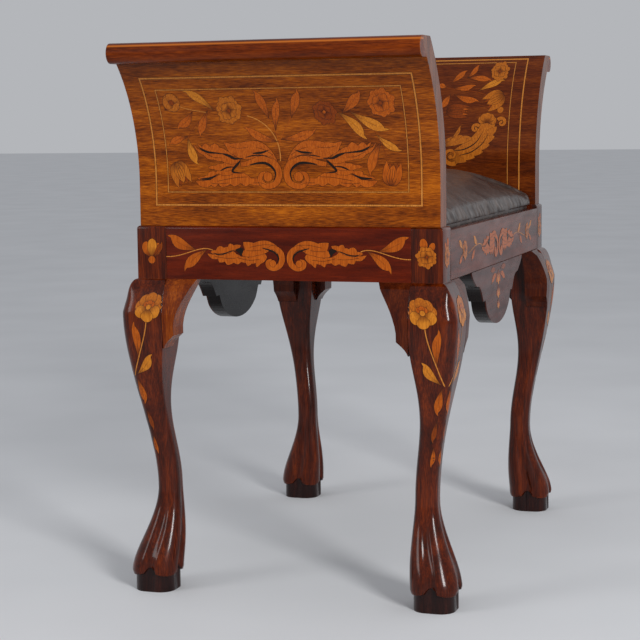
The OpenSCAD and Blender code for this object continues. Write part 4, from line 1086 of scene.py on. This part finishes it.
def knee_design():
    """The flower on a knee. u runs inwards from the leg's outer edge, v upwards."""
    middle = (36, 345)
    pieces = stem((35, 333), (34, 316), (27, 302), (6, 262), 1.2)
    for k, angle in enumerate((10, 170, 50, 130, 90)):
        pieces += petal(middle, angle, 17, 14, "honey", 1 + 0.6 * k)
    for k, angle in enumerate((208, 332, 270)):
        pieces += petal((middle[0], middle[1] - 1), angle, 16.5, 15, "yellow", 4 + 0.6 * k)
    for k, angle in enumerate((45, 135, 90)):
        pieces += petal(middle, angle, 8, 7, "satinwood", 5.8 + 0.6 * k)
    pieces += disc(middle, 3, "yellow", 7.6)
    for shape in (((17, 284), (19, 328), 10, -2), ((10, 264), (36, 289), 10, -2, "yellow"),
                  ((8, 260), (8, 227), 9, 2), ((8, 222), (9, 194), 5.5, 1, "russet"),
                  ((8, 190), (8, 165), 5, -1)):
        pieces += leaf(*shape)
    return pieces


def split(outline, axis, place):
    """A convex outline cut in two across one axis."""
    below, above = [], []
    for p, q in zip(outline, outline[1:] + outline[:1]):
        if p[axis] <= place:
            below.append(p)
        if p[axis] >= place:
            above.append(p)
        if (p[axis] - place) * (q[axis] - place) < 0:
            t = (place - p[axis]) / (q[axis] - p[axis])
            crossing = (p[0] + t * (q[0] - p[0]), p[1] + t * (q[1] - p[1]))
            below.append(crossing)
            above.append(crossing)
    return below, above


def sliced(outlines, axis, step):
    """Convex outlines cut into strips, so that they can follow a curved surface."""
    if not step:
        return outlines
    strips = []
    for rest in outlines:
        low = min(p[axis] for p in rest)
        high = max(p[axis] for p in rest)
        for place in np.arange(math.floor(low / step + 1) * step, high, step):
            below, rest = split(rest, axis, place)
            strips.append(below)
        strips.append(rest)
    return [s for s in strips if len(s) > 2]


def share_along(p, line):
    """How far along a line a point lies: 0 at its start, 1 at its end or without a line."""
    if line is None:
        return 1.0
    run = np.array(line[1]) - np.array(line[0])
    return float((np.array(p) - line[0]) @ run / (run @ run))


def marquetry_piece(name, design, to_face, outward, step_v=0, step_u=0, replaces=()):
    """Lays a design on a surface: each piece is cut into strips fine enough to bend,
    and to_face gives the place of a point of the design at a lift over the wood, or
    nothing where the surface ends."""
    points, scorches, faces, woods = [], [], [], []
    for outline, wood, level, scorch in design:
        lift = FIRST_LIFT + LEVEL_STEP * level
        corners = [(float(p[0]), float(p[1])) for p in outline]
        flat = tessellate_polygon([[Vector((*p, 0)) for p in corners]])
        parts = [[corners[i] for i in triangle] for triangle in flat]
        known = {}
        for part in sliced(sliced(parts, 1, step_v), 0, step_u):
            face = []
            for p in part:
                key = (round(p[0], 3), round(p[1], 3))
                if key not in known:
                    place = to_face(*p, lift)
                    known[key] = None if place is None else len(points)
                    if place is not None:
                        points.append(place)
                        scorches.append(share_along(p, scorch))
                if known[key] not in face:
                    face.append(known[key])
            if None not in face and len(face) > 2:
                spokes = [Vector(points[i]) - Vector(points[face[0]]) for i in face[1:]]
                turn = sum((p.cross(q) for p, q in zip(spokes, spokes[1:])), Vector())
                if turn.length > 1e-4:
                    faces.append(face[::-1] if turn.dot(Vector(outward)) < 0 else face)
                    woods.append(WOODS.index(wood))
    piece = new_piece(name, points, faces, "frame", wood_finishes, crisp_above=60)
    piece.data.polygons.foreach_set("material_index", woods)
    piece.data.attributes.new("scorch", "FLOAT", "POINT").data.foreach_set("value", scorches)
    if replaces:
        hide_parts(*replaces)


def panel_marquetry(side, end):
    def outer(u, v, lift):
        return side * panel_x(-lift, v), -side * u, v

    def inner(u, v, lift):
        return side * panel_x(PANEL_T + lift, v), side * u, v
    marquetry_piece(end + "_outer_inlay", outer_design(), outer, (side, 0, 0), PANEL_STRIP,
                    replaces=[end + "_outer_marquetry", end + "_outer_stringing"])
    marquetry_piece(end + "_inner_inlay", inner_design(), inner, (-side, 0, 0), PANEL_STRIP,
                    replaces=[end + "_inner_marquetry", end + "_inner_stringing"])


def rail_marquetry():
    for side, end in ((-1, "left"), (1, "right")):
        def to_end(u, v, lift):
            return side * (HALF_L + lift), -side * u, v
        marquetry_piece(end + "_frieze_inlay", end_rail_design(), to_end, (side, 0, 0),
                        replaces=[end + "_rail_marquetry"])
    for side, end in ((-1, "front"), (1, "back")):
        def to_side(u, v, lift):
            return -side * u, side * (HALF_W + lift), v
        marquetry_piece(end + "_frieze_inlay", side_rail_design(), to_side, (0, side, 0),
                        replaces=[end + "_rail_marquetry"])
        marquetry_piece(end + "_drop_inlay", drop_design(), to_side, (0, side, 0))


def post_marquetry():
    """The flowers on the square tops of the legs, two on each leg. The first of them
    stands for the CAD node that holds them all."""
    replaces = ["post_marquetry"]
    for sx in (-1, 1):
        for sy in (-1, 1):
            flower = round_post_design() if sy < 0 else tulip_post_design()
            mid_y = sy * (HALF_W - STILE_W / 2)
            mid_x = sx * (HALF_L - STILE_W / 2)

            def to_end(u, v, lift):
                return sx * (HALF_L + lift), mid_y - sx * u, RAIL_MID + v

            def to_side(u, v, lift):
                return mid_x - sy * u, sy * (HALF_W + lift), RAIL_MID + v
            name = f"post_flower_{'front' if sy < 0 else 'back'}_{'left' if sx < 0 else 'right'}"
            marquetry_piece(name + "_end", flower, to_end, (sx, 0, 0), replaces=replaces)
            marquetry_piece(name + "_side", flower, to_side, (0, sy, 0))
            replaces = ()


def knee_marquetry(name, sx, sy, surface):
    """The knee flowers, laid on the leg's own rounded surface by rays from outside it."""
    away = 60

    def dropped(start, direction, lift):
        hit, normal, _, _ = surface.ray_cast(Vector(start), Vector(direction))
        return None if hit is None else hit + normal * lift

    def to_end(u, v, lift):
        edge = HALF_W + out_at(v / LEG_H)
        return dropped((sx * (HALF_L + away), sy * (edge - u), v), (-sx, 0, 0), lift)

    def to_side(u, v, lift):
        edge = HALF_L + out_at(v / LEG_H)
        return dropped((sx * (edge - u), sy * (HALF_W + away), v), (0, -sy, 0), lift)
    marquetry_piece(name + "_knee_flower_end", knee_design(), to_end, (sx, 0, 0), *KNEE_STRIPS)
    marquetry_piece(name + "_knee_flower_side", knee_design(), to_side, (0, sy, 0), *KNEE_STRIPS)


# Seat. Before it is blown up, the pad is smaller all round by its slack, and then no
# point of it moves further than its swell.
PAD_HALF_L = 258
PAD_HALF_W = 180.5
PAD_LOW = 441
CROWN_H = 36
PAD_CORNER_R = 16
DRAW_IN = 3
PAD_SLACK = 0.8
PAD_SWELL = 5
TUCK_W = 12
WEB_T = 1.2
WEB_W = 50
SEAT_RAIL_W = 45
LONG_WEBS = 4
CROSS_WEBS = 6
HESSIAN_TOP = SEAT_TOP + 2 * WEB_T + 0.82
HESSIAN_FOOT = HESSIAN_TOP - 0.75
HESSIAN_T = 0.6
HESSIAN_MARGIN = 8
LINING_HALF_L = 244
LINING_HALF_W = HALF_W - RAIL_T - 1
LINING_FOOT = RAIL_TOP - REBATE_H - 0.6
LINING_T = 0.5
LINING_SAG = 1.5


def pad_ring(a, b, r, inward, z, cuts=16):
    """A rounded rectangle whose long sides draw in between its corners."""
    corners = [corner_arc(a - r, b - r, r, 0, 6), corner_arc(r - a, b - r, r, 90, 6),
               corner_arc(r - a, r - b, r, 180, 6), corner_arc(a - r, r - b, r, 270, 6)]
    ring = []
    for k in range(4):
        ring += corners[k]
        start, end = np.array(corners[k][-1]), np.array(corners[(k + 1) % 4][0])
        ring += [tuple(start + (end - start) * i / cuts) for i in range(1, cuts)]
    return [(x, y * (1 - inward / b * (1 - (x / a) ** 2)), z) for x, y in ring]


def crown_at(x, y, a, b):
    return CROWN_H * (1 - min(1, abs(x / a)) ** 9) * (1 - min(1, abs(y / b)) ** 3.5)


def pad_shape():
    """The stuffed pad, a little smaller all round, before it is blown up."""
    a, b = PAD_HALF_L - PAD_SLACK, PAD_HALF_W - PAD_SLACK
    l, w = SEAT_HALF_L, SEAT_HALF_W
    low = HESSIAN_TOP + 0.4
    rings = [pad_ring(l - 10, w - 10, 6, 0, low)]
    for share, up in ((0.4, -0.1), (0.7, -0.36), (0.93, -0.2), (1, 0.25), (1, 0.7), (0.985, 1)):
        rings.append(pad_ring(l + (a - l) * share, w + (b - w) * share, PAD_CORNER_R,
                              DRAW_IN * share, PAD_LOW + 1 + (PAD_RIM_Z - PAD_LOW - 1) * up))
    for k in (0.985, 0.95, 0.9, 0.82, 0.72, 0.6, 0.45, 0.3, 0.15):
        ring = pad_ring(a * k, b * k, max(2, PAD_CORNER_R * k), DRAW_IN * k, 0)
        rings.append([(x, y, PAD_RIM_Z + crown_at(x, y, a, b)) for x, y, _ in ring])
    return skin(rings)


def blow_up(piece):
    """Cloth simulation: air pressure fills the cover, and no point moves further than the
    swell. The cover's lower edge is tacked down."""
    steps = 20
    scene = bpy.context.scene
    start = np.array([v.co for v in piece.data.vertices])
    tacks = piece.vertex_groups.new(name="tacks")
    tacks.add([i for i, z in enumerate(start[:, 2]) if z < (PAD_LOW + 3) * MM], 1.0, "ADD")
    cloth = piece.modifiers.new("stuffing", "CLOTH")
    cloth.settings.quality = 6
    cloth.settings.vertex_group_mass = "tacks"
    cloth.settings.use_pressure = True
    cloth.settings.uniform_pressure_force = 4
    cloth.settings.effector_weights.gravity = 0
    cloth.settings.tension_stiffness = 20
    cloth.settings.compression_stiffness = 12
    cloth.settings.bending_stiffness = 1.5
    cloth.point_cache.frame_start = 1
    cloth.point_cache.frame_end = steps
    for step in range(1, steps + 1):
        scene.frame_set(step)
    shaped = piece.evaluated_get(bpy.context.evaluated_depsgraph_get())
    end = np.array([v.co for v in shaped.data.vertices])
    piece.modifiers.remove(cloth)
    scene.frame_set(1)
    move = end - start
    far = np.linalg.norm(move, axis=1, keepdims=True)
    end = start + move * np.minimum(1, PAD_SWELL * MM / np.maximum(far, 1e-9))
    piece.data.vertices.foreach_set("co", end.ravel())
    piece.data.update()


def pleat(x, y, z):
    """Depth of the puckers that pull down the cover's sides, in millimetres. Its ends
    take theirs from far along the same pattern, so that no two sides are alike."""
    end_shift = 700
    around = x if abs(y) / PAD_HALF_W > abs(x) / PAD_HALF_L else y + end_shift
    fade = smooth(max(0.0, min(1.0, (PAD_RIM_Z + 16 - z) / 28)))
    wave = noise.noise(Vector((around / 11, 3.7, z / 60)))
    ripple = noise.noise(Vector((around / 4.5, z / 30, 9)))
    return fade * (3.4 * wave + 1.5 * ripple)


def leather_skirt():
    """The cover's lower edge, which goes down the seat frame's sides and under it."""
    half_l, half_w = SEAT_HALF_L + LEATHER_T, SEAT_HALF_W + LEATHER_T
    under = SEAT_FOOT - LEATHER_T
    tucked = -TUCK_W - LEATHER_T
    section = [(tucked, SEAT_FOOT), (tucked, under), (-1.5, under), (-0.4, under + 0.4),
               (0, under + 1.5), (0, PAD_LOW + 1), (-LEATHER_T, PAD_LOW + 1),
               (-LEATHER_T, SEAT_FOOT)]
    rings = [pad_ring(half_l + a, half_w + a, 4, 0, z, cuts=60) for a, z in section]
    points, faces = skin(rings + [rings[0]])
    return points, faces[:-2]


def seat_pad():
    """The stuffed pad in its leather cover, with the cover's lower edge."""
    points, faces = pad_shape()
    piece = new_piece("seat_cushion", points, faces, "seat", [hide], crisp_above=80)
    remesh = piece.modifiers.new("even_mesh", "REMESH")
    remesh.mode = "VOXEL"
    remesh.voxel_size = 5 * MM
    even = bpy.data.meshes.new_from_object(
        piece.evaluated_get(bpy.context.evaluated_depsgraph_get()))
    piece.modifiers.clear()
    piece.data = even
    blow_up(piece)
    finer = piece.modifiers.new("finer", "SUBSURF")
    finer.levels = 1
    finer.render_levels = 1
    fine = bpy.data.meshes.new_from_object(
        piece.evaluated_get(bpy.context.evaluated_depsgraph_get()))
    piece.modifiers.clear()
    normals = [v.normal.copy() for v in fine.vertices]
    points = []
    for v, normal in zip(fine.vertices, normals):
        x, y, z = (c / MM for c in v.co)
        move = pleat(x, y, z)
        x = max(-PAD_HALF_L, min(PAD_HALF_L, x + move * normal.x))
        y += move * normal.y
        under = abs(x) < SEAT_HALF_L - 6 and abs(y) < SEAT_HALF_W - 6
        z = max(z, HESSIAN_TOP + 0.3 if under else RAIL_TOP + 2)
        points.append((x, y, z))
    points, faces = joined((points, [tuple(p.vertices) for p in fine.polygons]),
                           leather_skirt())
    piece.data = new_mesh("seat_cushion", points, faces, [hide], 60)
    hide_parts("seat_cover", "seat_stuffing")


def web_strap(crossings, pitch, half, first_over, across):
    """A strap of webbing that steps over and under the straps it crosses."""
    flat = WEB_W / 2 + WEB_T
    bends, levels = [], []
    for k in range(crossings):
        middle = (k - (crossings - 1) / 2) * pitch
        bends += [middle - flat, middle + flat]
        levels += [(WEB_T + 0.02) * ((k + first_over) % 2)] * 2
    rings = []
    for u in np.linspace(-half, half, 12 * crossings + 1):
        foot = SEAT_TOP + np.interp(u, bends, levels)
        rings.append([(u, across + w * WEB_W / 2, z) for w, z in
                      ((-1, foot), (1, foot), (1, foot + WEB_T), (-1, foot + WEB_T))])
    return skin(rings)


def seat_webbing():
    """Ten straps of jute webbing, woven through each other over the seat frame."""
    long_pitch = 2 * (SEAT_HALF_W - SEAT_RAIL_W) / LONG_WEBS
    cross_pitch = 2 * (SEAT_HALF_L - SEAT_RAIL_W) / CROSS_WEBS
    straps = []
    for k in range(LONG_WEBS):
        across = (k - (LONG_WEBS - 1) / 2) * long_pitch
        straps.append(web_strap(CROSS_WEBS, cross_pitch, SEAT_HALF_L - WEB_T, k, across))
    for k in range(CROSS_WEBS):
        across = (k - (CROSS_WEBS - 1) / 2) * cross_pitch
        points, faces = web_strap(LONG_WEBS, long_pitch, SEAT_HALF_W - WEB_T, k + 1, across)
        straps.append(([(y, x, z) for x, y, z in points], [f[::-1] for f in faces]))
    points, faces = joined(*straps)
    piece = new_piece("webbing_straps", points, faces, "seat", [jute])
    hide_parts("seat_webbing")


def cloth_sheet(name, node, half_l, half_w, low, thick, sag, finish):
    """A flat sheet of cloth, tacked at its edges and slack in the middle."""
    cells = 24
    points = []
    for up in (0, thick):
        for i in range(cells + 1):
            for j in range(cells + 1):
                u, v = 2 * i / cells - 1, 2 * j / cells - 1
                z = low + up - sag * (1 - u * u) * (1 - v * v)
                points.append((u * half_l, v * half_w, z))
    row, layer = cells + 1, (cells + 1) ** 2
    faces = []
    for i in range(cells):
        for j in range(cells):
            a = i * row + j
            faces.append((a, a + 1, a + row + 1, a + row))
            faces.append((layer + a, layer + a + row, layer + a + row + 1, layer + a + 1))
    rim = list(range(cells)) + [i * row + cells for i in range(cells)]
    rim += [cells * row + j for j in range(cells, 0, -1)] + [i * row for i in range(cells, 0, -1)]
    for a, b in zip(rim, rim[1:] + rim[:1]):
        faces.append((b, a, layer + a, layer + b))
    piece = new_piece(name, points, faces, "seat", [finish])
    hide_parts(node)


# Everything in its place
CORNERS = {"front_left": (-1, -1), "front_right": (1, -1),
           "back_left": (-1, 1), "back_right": (1, 1)}


def finish_nodes():
    """Better materials for the CAD nodes whose shape is right."""
    finishes = {}
    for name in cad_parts:
        if name == "ear_back_left_end":
            # This bracket is paler than the others in the photograph.
            finishes[name] = bracket_mahogany
        elif name.endswith("_panel"):
            finishes[name] = core_mahogany
        elif name.endswith("_nosing"):
            finishes[name] = nosing_mahogany_highlight_painted
        elif name.endswith("_drop"):
            finishes[name] = drop_mahogany_shade_painted
        elif "screws" in name:
            finishes[name] = steel
        elif "cleat" in name or "dowels" in name or name.startswith("seat_") and "rail" in name:
            finishes[name] = beech
        else:
            finishes[name] = plain_mahogany
    for name, finish in finishes.items():
        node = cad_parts[name]
        for slot in node.material_slots:
            slot.material = finish


def studio():
    """A pale floor that is clear from below, a pale world and soft lamps. A grid in front
    of each lamp keeps its light off the floor near it, which would turn white."""
    size = 30
    floor_material, tree, place = new_material("pale_floor")
    cloud = add(tree, "ShaderNodeTexNoise", {"Vector": place, "Scale": 3.0})
    tone = add(tree, "ShaderNodeValToRGB", {"Fac": cloud},
               stops=[(0.3, "#dcdddf"), (0.7, "#e2e3e5")])
    shader = add(tree, "ShaderNodeBsdfPrincipled", {"Base Color": tone, "Roughness": 0.9,
                                                    "Specular IOR Level": 0.0})
    clear = add(tree, "ShaderNodeBsdfTransparent")
    below = add(tree, "ShaderNodeNewGeometry", out="Backfacing")
    shader = add(tree, "ShaderNodeMixShader", {0: below, 1: shader, 2: clear})
    add(tree, "ShaderNodeOutputMaterial", {"Surface": shader})
    mesh = bpy.data.meshes.new("floor")
    mesh.from_pydata([(-size, -size, 0), (size, -size, 0), (size, size, 0), (-size, size, 0)],
                     [], [(0, 1, 2, 3)])
    mesh.materials.append(floor_material)
    floor = bpy.data.objects.new("floor", mesh)
    bpy.context.scene.collection.objects.link(floor)

    world = bpy.data.worlds.new("pale_room")
    world.use_nodes = True
    room = world.node_tree
    room.nodes.clear()
    background = add(room, "ShaderNodeBackground", {"Color": "#b4b6ba", "Strength": 1.0})
    add(room, "ShaderNodeOutputWorld", {"Surface": background})
    bpy.context.scene.world = world

    def lamp(name, place, aim, wide, high, power):
        light = bpy.data.lights.new(name, "AREA")
        light.shape = "RECTANGLE"
        light.size, light.size_y = wide, high
        light.energy = power
        light.spread = math.radians(90)
        thing = bpy.data.objects.new(name, light)
        thing.location = place
        thing.rotation_euler = (Vector(aim) - Vector(place)).to_track_quat("-Z", "Y").to_euler()
        bpy.context.scene.collection.objects.link(thing)
    middle = (0, 0, 0.4)
    lamp("window", (-2.6, -2.4, 1.6), middle, 0.7, 1.4, 22)
    lamp("left_fill", (-2.4, 2.2, 1.5), middle, 1.2, 1.2, 5.1)
    lamp("glare", (2.7, -1.55, 0.8), middle, 1.9, 1.6, 0.42)


photo_camera()
studio()
finish_nodes()
leg_surfaces = {name: leg("leg_" + name, *signs) for name, signs in CORNERS.items()}
for end, sx in (("left_rail", -1), ("right_rail", 1)):
    end_rail(end, sx)
for side_name, sy in (("front_rail", -1), ("back_rail", 1)):
    side_rail(side_name, sy)
for end, sx in (("left", -1), ("right", 1)):
    veneer_sheet(end + "_outer_veneer", sx, 0, VENEER_T, outer_veneer)
    veneer_sheet(end + "_inner_veneer", sx, PANEL_T, PANEL_T - VENEER_T, inner_veneer)
    panel_marquetry(sx, end)
rail_marquetry()
post_marquetry()
for name, signs in CORNERS.items():
    knee_marquetry(name, *signs, leg_surfaces[name])
seat_webbing()
cloth_sheet("hessian_sheet", "seat_hessian", SEAT_HALF_L - HESSIAN_MARGIN,
            SEAT_HALF_W - HESSIAN_MARGIN, HESSIAN_FOOT, HESSIAN_T, 0, hessian)
cloth_sheet("lining_sheet", "seat_lining", LINING_HALF_L, LINING_HALF_W, LINING_FOOT,
            LINING_T, LINING_SAG, black_cotton)
seat_pad()

bpy.context.scene.view_settings.view_transform = "Standard"
